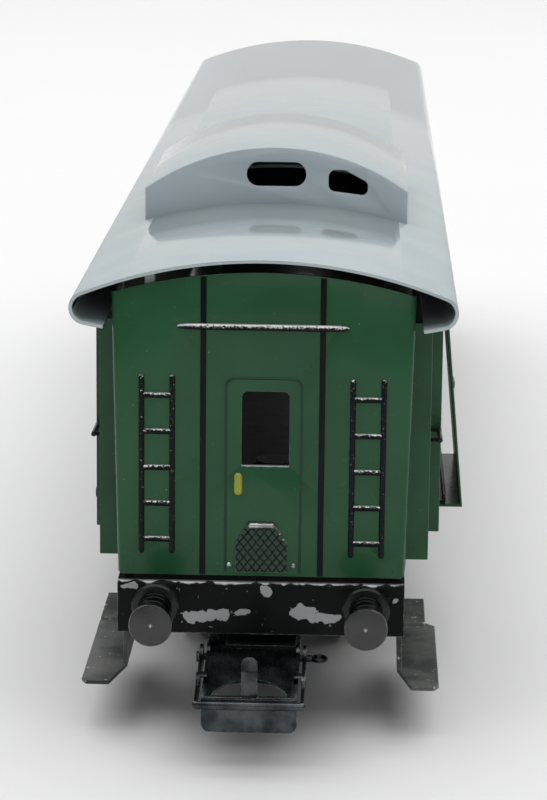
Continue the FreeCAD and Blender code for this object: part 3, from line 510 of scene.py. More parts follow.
def bow(half: float, rise: float, top: float, steps: int) -> list[Pair]:
    """An arc over a level chord, from right to left.

    Args:
        half: Half the chord's width.
        rise: How far the arc stands above the chord.
        top: The height of the arc's top.
        steps: How many steps it takes.

    Returns:
        The points, both ends among them.
    """
    radius = (half ** 2 + rise ** 2) / (2 * rise)
    lean = math.asin(half / radius)
    return arc((0, top - radius), radius, math.pi / 2 - lean, math.pi / 2 + lean, steps)


def rounded(corners: Outline, radius: float | Sequence[float], steps: int = 5) -> list[Pair]:
    """Round the corners of a closed outline with arcs.

    Args:
        corners: The outline's corners.
        radius: The radius of every corner, or one radius for each.
        steps: How many steps each arc takes.

    Returns:
        The points of the rounded outline.
    """
    radii = [radius] * len(corners) if isinstance(radius, (int, float)) else list(radius)
    points = []
    for index, corner in enumerate(corners):
        here = Vector(corner)
        if radii[index] <= 0:
            points.append(tuple(here))
            continue
        before = (Vector(corners[index - 1]) - here).normalized()
        after = (Vector(corners[(index + 1) % len(corners)]) - here).normalized()
        half = before.angle(after) / 2
        middle = here + (before + after).normalized() * (radii[index] / math.sin(half))
        first = here + before * (radii[index] / math.tan(half)) - middle
        last = here + after * (radii[index] / math.tan(half)) - middle
        start = math.atan2(first.y, first.x)
        sweep = (math.atan2(last.y, last.x) - start + math.pi) % (2 * math.pi) - math.pi
        points += arc(middle, radii[index], start, start + sweep, steps)
    return points


def rounded_path(corners: Outline, radius: float, steps: int = 6) -> list[Pair]:
    """Round the inner corners of an open path, and leave its two ends as they are.

    Args:
        corners: The path's corners.
        radius: The radius of its inner corners.
        steps: How many steps each arc takes.

    Returns:
        The points of the rounded path.
    """
    radii = [0.0] + [radius] * (len(corners) - 2) + [0.0]
    return rounded(corners, radii, steps)


def upright(pairs: Outline, y: float) -> list[Vector]:
    """Points across the van from pairs of X and Z."""
    return [Vector((x, y, z)) for x, z in pairs]


def node_box(node: str) -> tuple[Vector, Vector]:
    """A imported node's lowest and highest corners, in millimetres."""
    low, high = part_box(node)
    return low / MM, high / MM


# ---- Finishes -------------------------------------------------------------------------


class Graph:
    """A material's node tree, with places on the piece in millimetres."""

    def __init__(self, name: str) -> None:
        """Start a material with only a surface shader.

        Args:
            name: The material's name.
        """
        self.material = bpy.data.materials.new(name)
        self.material.use_nodes = True
        self.tree = self.material.node_tree
        self.tree.nodes.clear()
        output = self.tree.nodes.new("ShaderNodeOutputMaterial")
        self.shader = self.tree.nodes.new("ShaderNodeBsdfPrincipled")
        self.tree.links.new(self.shader.outputs[0], output.inputs["Surface"])
        self.coordinates = self.tree.nodes.new("ShaderNodeTexCoord")
        self.place = self.vector("SCALE", self.coordinates.outputs["Object"], scale=1 / MM)
        split = self.node("ShaderNodeSeparateXYZ", {0: self.place})
        self.x, self.y, self.z = split.outputs

    def node(self, kind: str, inputs: dict, **settings: object) -> bpy.types.Node:
        """Add a node, set it up, and fill its inputs with values or links.

        Args:
            kind: The node's type.
            inputs: Values or sockets by input name or number.
            **settings: The node's own settings.

        Returns:
            The node.
        """
        node = self.tree.nodes.new(kind)
        for name, value in settings.items():
            setattr(node, name, value)
        for name, value in inputs.items():
            if isinstance(value, NodeSocket):
                self.tree.links.new(value, node.inputs[name])
            else:
                node.inputs[name].default_value = value
        return node

    def maths(self, operation: str, first: object, second: object = 0.0) -> NodeSocket:
        """One step of arithmetic on numbers."""
        return self.node("ShaderNodeMath", {0: first, 1: second}, operation=operation).outputs[0]

    def vector(
        self, operation: str, first: object, second: object = (0, 0, 0), scale: float = 1.0
    ) -> NodeSocket:
        """One step of arithmetic on vectors; length and dot product give a number.

        Args:
            operation: The sort of arithmetic.
            first: The first vector.
            second: The second vector, where there is one.
            scale: The factor, where the operation has one.

        Returns:
            The result: a number for a length or a dot product.
        """
        inputs = {0: first, 1: second, 3: scale}
        node = self.node("ShaderNodeVectorMath", inputs, operation=operation)
        return node.outputs["Value" if operation in ("LENGTH", "DOT_PRODUCT") else "Vector"]

    def step(self, value: object, low: float, high: float) -> NodeSocket:
        """A smooth rise from 0 at low to 1 at high, or a fall where low is above high.

        Args:
            value: What rises or falls.
            low: Where the change starts.
            high: Where it ends.

        Returns:
            The share, from 0 to 1.
        """
        if low > high:
            return self.maths("SUBTRACT", 1.0, self.step(value, high, low))
        inputs = {"Value": value, "From Min": low, "From Max": high}
        return self.node("ShaderNodeMapRange", inputs, interpolation_type="SMOOTHSTEP").outputs[0]

    def spread(self, value: object, low: float, high: float) -> NodeSocket:
        """A value from 0 to 1 spread between two others."""
        return self.node("ShaderNodeMapRange", {"Value": value, "To Min": low, "To Max": high}).outputs[0]

    def about(self, value: object, reach: float, middle: float = 0.0) -> NodeSocket:
        """A value from 0 to 1 spread as far below a middle as above it."""
        return self.spread(value, middle - reach, middle + reach)

    def noise(self, per_mm: float, detail: float = 3.0, stretch: Colour = (1, 1, 1)) -> NodeSocket:
        """Noise with so many waves to a millimetre, stretched where stretch is below one.

        Args:
            per_mm: Waves to a millimetre.
            detail: How many finer layers it has.
            stretch: Factors along X, Y and Z.

        Returns:
            The noise, from 0 to 1.
        """
        place = self.vector("MULTIPLY", self.place, stretch)
        inputs = {"Vector": place, "Scale": per_mm, "Detail": detail}
        return self.node("ShaderNodeTexNoise", inputs).outputs[0]

    def blend(self, factor: object, first: object, second: object) -> NodeSocket:
        """A colour between two others.

        Args:
            factor: 0 gives the first colour, 1 the second.
            first: A colour or a socket.
            second: Another one.

        Returns:
            The colour between them.
        """
        node = self.node("ShaderNodeMix", {0: factor}, data_type="RGBA")
        for index, colour in ((6, first), (7, second)):
            if isinstance(colour, NodeSocket):
                self.tree.links.new(colour, node.inputs[index])
            else:
                node.inputs[index].default_value = (*colour, 1.0)
        return node.outputs[2]

    def bump(self, height: object, depth: float) -> None:
        """Raise and lower the surface by a height from 0 to 1, so many millimetres deep."""
        node = self.node("ShaderNodeBump", {"Height": height, "Distance": depth * MM})
        self.tree.links.new(node.outputs[0], self.shader.inputs["Normal"])

    def edges(self, radius: float) -> NodeSocket:
        """How near the surface is to a sharp edge, from 0 upwards.

        Args:
            radius: How far from an edge it is felt, in millimetres.

        Returns:
            Nothing on the flat, more near an edge.
        """
        rounded_normal = self.node("ShaderNodeBevel", {"Radius": radius * MM}, samples=6).outputs[0]
        normal = self.node("ShaderNodeNewGeometry", {}).outputs["Normal"]
        return self.maths("SUBTRACT", 1.0, self.vector("DOT_PRODUCT", rounded_normal, normal))

    def set(self, **values: object) -> None:
        """Fill the shader's inputs, each named in words joined by underscores.

        Args:
            **values: Values or sockets by input name.
        """
        for name, value in values.items():
            socket = self.shader.inputs[name.replace("_", " ")]
            if isinstance(value, NodeSocket):
                self.tree.links.new(value, socket)
            else:
                socket.default_value = (*value, 1.0) if isinstance(value, tuple) else value


@dataclass(frozen=True)
class Patch:
    """A patch of paint knocked off a buffer beam: its middle and its half sizes across and up."""

    x: float
    z: float
    half_x: float
    half_z: float


@dataclass(frozen=True)
class Sill:
    """The lower edge of a window, painted bright as bare metal and highlight: its middle and half width
    across, its height and its reach.
    """

    middle: float
    half: float
    height: float
    reach: float


@dataclass(frozen=True)
class Enamel:
    """Glossy enamel on pressed sheet, with dust, worn edges, bare metal and painted highlight on upward
    faces and the window's sill, and a dark inside painted near-black as shade.
    """

    name: str
    colour: Colour
    shade: Colour
    metal: Colour = (0.42, 0.43, 0.44)
    # inside: the near-black of faces that look into the van, a dark sheet painted darker as shade.
    inside: Colour = (0.002, 0.002, 0.002)
    speck: Colour = (0.55, 0.58, 0.55)
    bare: Colour = (0.15, 0.152, 0.156)
    roughness: float = 0.25
    worn_roughness: float = 0.42
    worn_metallic: float = 0.75
    specular: float = 0.2
    coat: float = 0.12
    coat_roughness: float = 0.08
    cloud_size: float = 0.12
    peel: float = 0.004
    edge_reach: float = 0.16
    edge_wear: float = 0.3
    edge_limit: float = 0.2
    edge_ragged: float = 0.35
    dust: float = 0.5
    inward: Colour = (0, 0, 0)
    inside_depth: float = 5.0
    middle_height: float = 30.0
    # Upward faces turn bare silver: wear and painted highlight from light above.
    worn_and_lit_tops: float | None = None
    tops_ragged: float = 1.5
    worn_band: float | None = None
    band_ragged: float = 0.6
    beam_face: float = 102.7
    patches: tuple[Patch, ...] = ()
    patch_ragged: float = 1.1
    sill: Sill | None = None
    sill_ragged: float = 0.12

    def make(self) -> bpy.types.Material:
        """Build the material.

        Returns:
            The enamel's material.
        """
        graph = Graph(self.name)
        cloud = graph.step(graph.noise(self.cloud_size, 4.0), 0.35, 0.65)
        colour = graph.blend(cloud, self.colour, self.shade)
        colour = graph.blend(self.specks(graph), colour, self.speck)
        worn = self.worn(graph)
        colour = graph.blend(worn, colour, self.metal)
        for patch in self.patches:
            mask = self.patch_mask(graph, patch)
            colour = graph.blend(mask, colour, self.bare)
            worn = graph.maths("MAXIMUM", worn, mask)
        # Painted shade: faces that look into the van take the near-black inside colour and go dull.
        inside_shade = self.inside_shade(graph)
        colour = graph.blend(inside_shade, colour, self.inside)
        gloss = graph.spread(graph.noise(0.6, 3.0), self.roughness * 0.8, self.roughness * 1.25)
        dull = graph.maths("MAXIMUM", worn, inside_shade)
        rough = graph.node("ShaderNodeMix", {0: dull, 2: gloss, 3: self.worn_roughness}).outputs[0]
        metallic = graph.maths("MULTIPLY", worn, self.worn_metallic)
        graph.set(Base_Color=colour, Roughness=rough, Metallic=metallic)
        graph.set(Coat_Weight=self.coat, Coat_Roughness=self.coat_roughness)
        graph.set(Specular_IOR_Level=self.specular)
        graph.bump(graph.noise(2.2, 2.0), self.peel)
        return graph.material

    def specks(self, graph: Graph) -> NodeSocket:
        """Scattered specks of dust and tiny chips.

        Args:
            graph: The material's node tree.

        Returns:
            How much of a speck there is, from 0 to 1.
        """
        grains = graph.node("ShaderNodeTexVoronoi", {"Vector": graph.place, "Scale": 0.9})
        rare = graph.step(graph.noise(0.35, 2.0), 0.56, 0.62)
        near = graph.step(grains.outputs["Distance"], 0.075, 0.03)
        return graph.maths("MULTIPLY", graph.maths("MULTIPLY", near, rare), self.dust)

    def worn(self, graph: Graph) -> NodeSocket:
        """Where the paint has rubbed off at edges and in a band at the top, and where bare metal is
        painted on upward faces and the window's sill, as wear and painted highlight.

        Args:
            graph: The material's node tree.

        Returns:
            How bare the metal is, from 0 to 1.
        """
        limit = graph.about(graph.noise(1.7, 5.0), -self.edge_ragged, self.edge_limit)
        near = graph.maths("SUBTRACT", graph.edges(self.edge_reach), limit)
        worn = graph.maths("MULTIPLY", graph.step(near, 0.0, 0.08), self.edge_wear)
        if self.worn_band is not None:
            ragged = graph.about(graph.noise(0.7, 6.0, (1, 1, 0.2)), self.band_ragged)
            band = graph.step(graph.maths("ADD", graph.z, ragged), self.worn_band, self.worn_band + 0.12)
            worn = graph.maths("MAXIMUM", worn, graph.maths("MULTIPLY", band, self.outside(graph)))
        # Painted highlight and wear: faces that look upwards turn to the metal colour.
        if self.worn_and_lit_tops is not None:
            normal = graph.node("ShaderNodeSeparateXYZ", {0: graph.coordinates.outputs["Normal"]})
            ragged = graph.about(graph.noise(5.0, 5.0), self.tops_ragged)
            lifted = graph.maths("ADD", normal.outputs[2], ragged)
            worn = graph.maths("MAXIMUM", worn, graph.step(lifted, self.worn_and_lit_tops, self.worn_and_lit_tops + 0.6))
        # The window's sill is painted bright: its bare cut edge and a painted highlight.
        if self.sill:
            worn = graph.maths("MAXIMUM", worn, self.sill_bare_and_highlight_mask(graph, self.sill))
        return worn

    def sill_bare_and_highlight_mask(self, graph: Graph, sill: Sill) -> NodeSocket:
        """The lower edge of the window, painted bright at either end of the van: its bare cut edge and a
        painted highlight where light falls on it.

        Args:
            graph: The material's node tree.
            sill: The edge's place and size.

        Returns:
            One on the edge, nothing elsewhere.
        """
        end = graph.maths("MULTIPLY", graph.maths("SIGN", graph.y), sill.middle)
        across = graph.maths("ABSOLUTE", graph.maths("ADD", graph.x, end))
        up = graph.maths("ABSOLUTE", graph.maths("SUBTRACT", graph.z, sill.height))
        ragged = graph.maths("ADD", up, graph.about(graph.noise(2.0, 5.0), self.sill_ragged))
        within = graph.step(across, sill.half + 0.02, sill.half)
        return graph.maths("MULTIPLY", within, graph.step(ragged, sill.reach + 0.03, sill.reach))

    def patch_mask(self, graph: Graph, patch: Patch) -> NodeSocket:
        """One ragged patch on the outside of either buffer beam.

        Args:
            graph: The material's node tree.
            patch: The patch's place and size.

        Returns:
            One on the patch, nothing elsewhere.
        """
        from_middle = graph.vector("SUBTRACT", graph.place, (patch.x, 0, patch.z))
        share = graph.vector("MULTIPLY", from_middle, (1 / patch.half_x, 0, 1 / patch.half_z))
        ragged = graph.about(graph.noise(1.3, 6.0), self.patch_ragged)
        reach = graph.maths("ADD", graph.vector("LENGTH", share), ragged)
        return graph.maths("MULTIPLY", graph.step(reach, 1.0, 0.95), self.outside(graph))

    def outside(self, graph: Graph) -> NodeSocket:
        """One on the outside of either buffer beam, nothing further in."""
        return graph.step(graph.maths("ABSOLUTE", graph.y), self.beam_face, self.beam_face + 0.1)

    def inside_shade(self, graph: Graph) -> NodeSocket:
        """Where the surface looks into the van, which is painted near-black: a dark inside and painted
        shade.

        Args:
            graph: The material's node tree.

        Returns:
            One where it looks inwards, nothing elsewhere.
        """
        from_middle = graph.vector("SUBTRACT", graph.place, (0, 0, self.middle_height))
        reach = graph.vector("MULTIPLY", from_middle, self.inward)
        outwards = graph.vector("DOT_PRODUCT", reach, graph.coordinates.outputs["Normal"])
        return graph.step(outwards, -self.inside_depth, -self.inside_depth - 0.5)


@dataclass(frozen=True)
class Steel:
    """Bare or blued steel with drawn grain, clouding and bright worn edges."""

    name: str
    colour: Colour
    cloud: Colour
    edge: Colour = (0.6, 0.6, 0.6)
    roughness: float = 0.32
    grain: Colour = (1.0, 0.12, 1.0)
    edge_reach: float = 0.12
    edge_wear: float = 0.6

    def make(self) -> bpy.types.Material:
        """Build the material.

        Returns:
            The steel's material.
        """
        graph = Graph(self.name)
        grain = graph.noise(5.0, 3.0, self.grain)
        cloud = graph.step(graph.noise(0.45, 4.0), 0.35, 0.7)
        colour = graph.blend(cloud, self.colour, self.cloud)
        limit = graph.spread(graph.noise(2.0, 4.0), 0.45, -0.15)
        near = graph.step(graph.maths("SUBTRACT", graph.edges(self.edge_reach), limit), 0.0, 0.1)
        colour = graph.blend(graph.maths("MULTIPLY", near, self.edge_wear), colour, self.edge)
        graph.set(Base_Color=colour, Metallic=1.0)
        graph.set(Roughness=graph.spread(grain, self.roughness * 0.7, self.roughness * 1.4))
        graph.bump(grain, 0.004)
        return graph.material


@dataclass(frozen=True)
class TurnedSteel:
    """Steel turned on a lathe, with fine rings round the axis of each buffer painted lighter as their
    sheen, bright rims and a centre dot painted as highlight, and a black shank.
    """

    name: str = "turned_buffer_steel"
    across: float = 10.05
    height: float = 12.8
    rings_per_mm: float = 8.0
    head_from: float = 108.75
    shank: Colour = (0.012, 0.0125, 0.013)
    dark: Colour = (0.04, 0.0402, 0.0405)
    light: Colour = (0.075, 0.0752, 0.0755)
    # ring: the lighter colour of the turning rings, a painted sheen; bright: rims and centre dot, painted
    # highlight.
    ring: Colour = (0.14, 0.14, 0.14)
    bright: Colour = (0.5, 0.49, 0.47)

    def make(self) -> bpy.types.Material:
        """Build the material.

        Returns:
            The turned steel's material.
        """
        graph = Graph(self.name)
        across = graph.maths("SUBTRACT", graph.maths("ABSOLUTE", graph.x), self.across)
        height = graph.maths("SUBTRACT", graph.z, self.height)
        arm = graph.node("ShaderNodeCombineXYZ", {0: across, 2: height}).outputs[0]
        radius = graph.vector("LENGTH", arm)
        uneven = graph.maths("ADD", radius, graph.spread(graph.noise(0.8, 2.0), 0.0, 0.05))
        wave = graph.maths("SINE", graph.maths("MULTIPLY", uneven, 2 * math.pi * self.rings_per_mm))
        rings = graph.node("ShaderNodeMapRange", {"Value": wave, "From Min": -1.0}).outputs[0]
        colour = graph.blend(graph.noise(0.7, 4.0), self.dark, self.light)
        # Painted sheen: the turning rings are painted lighter.
        colour = graph.blend(graph.maths("MULTIPLY", rings, 0.25), colour, self.ring)
        # Painted highlight: rims and the centre dot turn bright, the rims partly worn.
        near = graph.step(graph.maths("SUBTRACT", graph.edges(0.1), 0.06), 0.0, 0.12)
        mark = graph.maths("MAXIMUM", near, graph.step(radius, 0.22, 0.1))
        colour = graph.blend(mark, colour, self.bright)
        head = graph.step(graph.maths("ABSOLUTE", graph.y), self.head_from, self.head_from + 0.1)
        colour = graph.blend(head, self.shank, colour)
        graph.set(Base_Color=colour, Metallic=1.0, Roughness=graph.spread(rings, 0.24, 0.42))
        graph.bump(rings, 0.004)
        return graph.material


@dataclass(frozen=True)
class WheelMetal:
    """A blackened wheel with a bright worn tread."""

    name: str = "wheel_casting"
    pivot: float = 57.0
    half_base: float = 14.0
    height: float = 6.4
    bright_from: float = 5.15
    dark: Colour = (0.035, 0.034, 0.033)
    light: Colour = (0.07, 0.066, 0.06)
    bright: Colour = (0.5, 0.49, 0.47)

    def make(self) -> bpy.types.Material:
        """Build the material.

        Returns:
            The wheel's material.
        """
        graph = Graph(self.name)
        from_pivot = graph.maths("SUBTRACT", graph.maths("ABSOLUTE", graph.y), self.pivot)
        along = graph.maths("SUBTRACT", graph.maths("ABSOLUTE", from_pivot), self.half_base)
        up = graph.maths("SUBTRACT", graph.z, self.height)
        arm = graph.node("ShaderNodeCombineXYZ", {1: along, 2: up}).outputs[0]
        tread = graph.step(graph.vector("LENGTH", arm), self.bright_from, self.bright_from + 0.1)
        colour = graph.blend(graph.noise(0.8, 4.0), self.dark, self.light)
        colour = graph.blend(tread, colour, self.bright)
        graph.set(Base_Color=colour, Metallic=graph.spread(tread, 0.2, 1.0))
        graph.set(Roughness=graph.spread(tread, 0.5, 0.25))
        graph.bump(graph.noise(3.0, 3.0), 0.008)
        return graph.material


def from_screen(red: int, green: int, blue: int) -> Colour:
    """A linear colour from one given in screen values, 0 to 255."""
    shares = (red / 255, green / 255, blue / 255)
    return tuple(((share + 0.055) / 1.055) ** 2.4 for share in shares)


BEAM_PATCHES = (
    Patch(-6.0, 11.75, 1.5, 0.65),
    Patch(-4.1, 12.0, 1.4, 0.6),
    Patch(-1.8, 12.3, 0.7, 0.38),
    Patch(3.9, 12.4, 1.3, 0.75),
    Patch(6.1, 11.9, 1.5, 0.5),
    Patch(0.5, 14.5, 0.6, 0.6),
    Patch(12.8, 13.7, 0.32, 0.32),
    Patch(-12.6, 14.7, 0.9, 0.35),
)
# The roof's underside is painted near-black as the shade inside the van.
UNDER_ROOF = {"inward": (1.0, 0.0, 1.0), "inside_depth": 12.0, "middle_height": 8.0, "dust": 0.0}
# Black relief whose upward faces are painted silver: wear and painted highlight.
WORN_AND_LIT_TOPS = {"edge_wear": 0.0, "roughness": 0.25, "coat": 0.03, "specular": 0.12, "dust": 0.2}

# Finishes with inward set paint the faces that look into the van near-black, as painted shade.
FINISHES = {
    # The green wall's window sill is painted bright, partly as highlight.
    "green": Enamel(
        "green_enamel", from_screen(37, 84, 54), from_screen(32, 76, 48), inward=(1.0, 1.0, 0.0),
        edge_wear=0.55, sill=Sill(0.3, 2.25, 26.75, 0.1),
    ),
    # The pressed door line is the wall's green painted darker: painted shade along the line.
    "line": Enamel(
        "door_line_painted_shade", from_screen(20, 52, 33), from_screen(25, 60, 39), edge_wear=0.0, dust=0.3
    ),
    "side": Enamel(
        "green_enamel_side", from_screen(38, 84, 54), from_screen(32, 74, 47), inward=(1, 0, 0)
    ),
    "grey": Enamel(
        "grey_enamel", from_screen(172, 184, 187), from_screen(165, 178, 181), metal=(0.75, 0.76, 0.76),
        roughness=0.16, specular=0.6, coat=0.6, edge_wear=0.3, **UNDER_ROOF,
    ),
    # The lookout panels are the roof's grey painted slightly lighter as painted light, and their rims are
    # painted bright metal: worn edges and painted highlight.
    "lookout": Enamel(
        "lookout_enamel_painted_light", from_screen(176, 189, 192), from_screen(170, 183, 187), metal=(0.85, 0.86, 0.86),
        roughness=0.2, coat=0.3, edge_wear=0.8, **UNDER_ROOF,
    ),
    "black": Enamel(
        "black_enamel", (0.0025, 0.003, 0.003), (0.005, 0.0055, 0.0055), edge_wear=0.9, edge_limit=0.12,
        metal=(0.4, 0.4, 0.41), patches=BEAM_PATCHES, bare=(0.33, 0.335, 0.34), roughness=0.3,
        specular=0.08, coat=0.02, worn_band=15.1,
    ),
    "relief": Enamel(
        "worn_and_lit_black_relief", (0.003, 0.0035, 0.0035), (0.006, 0.007, 0.007), metal=(0.74, 0.75, 0.76),
        worn_and_lit_tops=0.4, **WORN_AND_LIT_TOPS,
    ),
    "rail": Enamel(
        "worn_handrail", (0.003, 0.0035, 0.0035), (0.006, 0.007, 0.007), metal=(0.7, 0.7, 0.71),
        worn_and_lit_tops=0.0, **WORN_AND_LIT_TOPS,
    ),
    "strip": Enamel(
        "black_line", (0.003, 0.0045, 0.004), (0.006, 0.008, 0.007), edge_wear=0.5, edge_limit=0.25,
        roughness=0.3, coat=0.03, specular=0.1,
    ),
    "step": Enamel(
        "worn_step_enamel", from_screen(50, 52, 52), from_screen(92, 94, 92), metal=(0.7, 0.65, 0.57),
        edge_wear=1.0, edge_limit=0.09, roughness=0.4, cloud_size=0.22,
    ),
    "tread": Enamel("tread_enamel", from_screen(40, 62, 49), from_screen(54, 78, 62)),
    # The pull's upward faces are painted lighter metal: wear and painted highlight.
    "pull": Enamel(
        "pull_paint", from_screen(168, 172, 58), from_screen(140, 150, 60), metal=(0.75, 0.7, 0.45),
        worn_and_lit_tops=0.8, dust=0.2,
    ),
    "flange": Enamel("flange_black", (0.008, 0.009, 0.009), (0.016, 0.017, 0.017), edge_wear=0.5),
    "handle": Enamel("handle_black", (0.006, 0.007, 0.007), (0.01, 0.011, 0.011), edge_wear=0.4),
    "bogie": Enamel(
        "bogie_black", (0.004, 0.0045, 0.0045), (0.008, 0.009, 0.009), edge_wear=0.8, specular=0.1,
        coat=0.03,
    ),
    "roof_tab": Enamel("roof_tab_grey", from_screen(180, 186, 186), from_screen(170, 178, 178)),
    "turned": TurnedSteel(),
    "blued_dark": Steel("blued_pin", (0.02, 0.022, 0.024), (0.045, 0.05, 0.054), roughness=0.3),
    "worn": Steel(
        "worn_silver", (0.62, 0.63, 0.63), (0.22, 0.23, 0.23), roughness=0.3, grain=(1.0, 1.0, 1.0)
    ),
    # The blued sheet's lighter clouding is uneven bluing and painted reflection of the plate's bright
    # spots.
    "blued": Steel("blued_sheet", (0.03, 0.035, 0.038), (0.085, 0.097, 0.104), roughness=0.26),
    "bare": Steel("bare_steel", (0.45, 0.45, 0.44), (0.55, 0.55, 0.54), roughness=0.25),
    "wheel": WheelMetal(),
}


class Workshop:
    """Hands out finishes and hangs finished pieces on the van."""

    def __init__(self) -> None:
        """Build every finish once."""
        self.paints = {name: finish.make() for name, finish in FINISHES.items()}
        groups = frame["record"]["behaviour"]["bodies"]
        self.bodies = {node: body for body, nodes in groups.items() for node in nodes}

    def finish(self, piece: Piece, paint: str, slot: Slot, body: str, *nodes: str) -> Piece:
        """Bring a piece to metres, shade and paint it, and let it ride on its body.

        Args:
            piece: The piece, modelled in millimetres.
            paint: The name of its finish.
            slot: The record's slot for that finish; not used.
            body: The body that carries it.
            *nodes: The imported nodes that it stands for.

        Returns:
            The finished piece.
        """
        focus(piece)
        piece.scale = (MM, MM, MM)
        bpy.ops.object.transform_apply(location=True, rotation=True, scale=True)
        bpy.ops.object.shade_smooth_by_angle(angle=math.radians(SHARP_ANGLE))
        piece.data.materials.clear()
        piece.data.materials.append(self.paints[paint])
        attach(piece, body)
        if nodes:
            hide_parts(*nodes)
        LOG.info("%s rides on %s, %d faces", piece.name, body, len(piece.data.polygons))
        return piece

    def both_ends(self, piece: Piece, paint: str, slot: Slot, body: str = "van", node: str = "") -> None:
        """Finish a front piece and its twin turned round to the rear.

        Args:
            piece: The front piece, whose name ends in "front".
            paint: The name of the finish.
            slot: The record's slot.
            body: The body; "{end}" in it stands for the end's name.
            node: The node that it replaces, with "{end}" for the end's name, or nothing.
        """
        twin = copied(piece, piece.name.replace("front", "rear"), turn=math.pi)
        for end, one in ((End.FRONT, piece), (End.REAR, twin)):
            nodes = [node.format(end=end.value)] if node else []
            self.finish(one, paint, slot, body.format(end=end.value), *nodes)

    def four_corners(self, piece: Piece, paint: str, slot: Slot, node: str = "") -> None:
        """Finish a front right piece and its three twins.

        Args:
            piece: The front right piece, whose name ends in "front_right".
            paint: The name of the finish.
            slot: The record's slot.
            node: The start of the names of the nodes that they replace, or nothing.
        """
        stem = piece.name.removesuffix("front_right")
        twins = [
            piece,
            copied(piece, f"{stem}front_left", mirror=True),
            copied(piece, f"{stem}rear_right", turn=math.pi, mirror=True),
            copied(piece, f"{stem}rear_left", turn=math.pi),
        ]
        for one in twins:
            nodes = [self.nearest(one, node)] if node else []
            body = self.bodies[nodes[0]] if nodes else "van"
            self.finish(one, paint, slot, body, *nodes)

    def nearest(self, piece: Piece, stem: str) -> str:
        """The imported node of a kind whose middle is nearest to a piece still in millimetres.

        Args:
            piece: The piece.
            stem: The start of the nodes' names.

        Returns:
            The nearest node's name.
        """
        places = [Vector(corner) for corner in piece.bound_box]
        middle = sum(places, Vector()) / len(places)
        nodes = [name for name in frame["nodes"] if name.startswith(stem)]
        return min(nodes, key=lambda name: (sum(node_box(name), Vector()) / 2 - middle).length)

    def dress(self, node: str, paint: str, bevel: float = 0.06) -> None:
        """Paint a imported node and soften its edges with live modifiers.

        Args:
            node: The node's name.
            paint: The name of its finish.
            bevel: The width of the rounding.
        """
        piece = frame["nodes"][node]
        piece.data.materials.clear()
        piece.data.materials.append(self.paints[paint])
        weld = piece.modifiers.new("Weld", "WELD")
        weld.merge_threshold = WELD_REACH
        flat = piece.modifiers.new("Flat", "DECIMATE")
        flat.decimate_type = "DISSOLVE"
        flat.angle_limit = math.radians(FLAT_ANGLE)
        rounding = piece.modifiers.new("Rounding", "BEVEL")
        rounding.width = bevel * MM
        rounding.segments = 2
        rounding.limit_method = "ANGLE"
        rounding.angle_limit = math.radians(ROUND_ANGLE)
        piece.modifiers.new("Normals", "WEIGHTED_NORMAL")
        LOG.info("%s keeps its shape and is painted %s", node, paint)


# ---- Sub-assemblies -------------------------------------------------------------------


@dataclass
class Assembly:
    """A part of the van: the workshop that finishes it and where the front end wall's face is."""

    shop: Workshop
    face: float


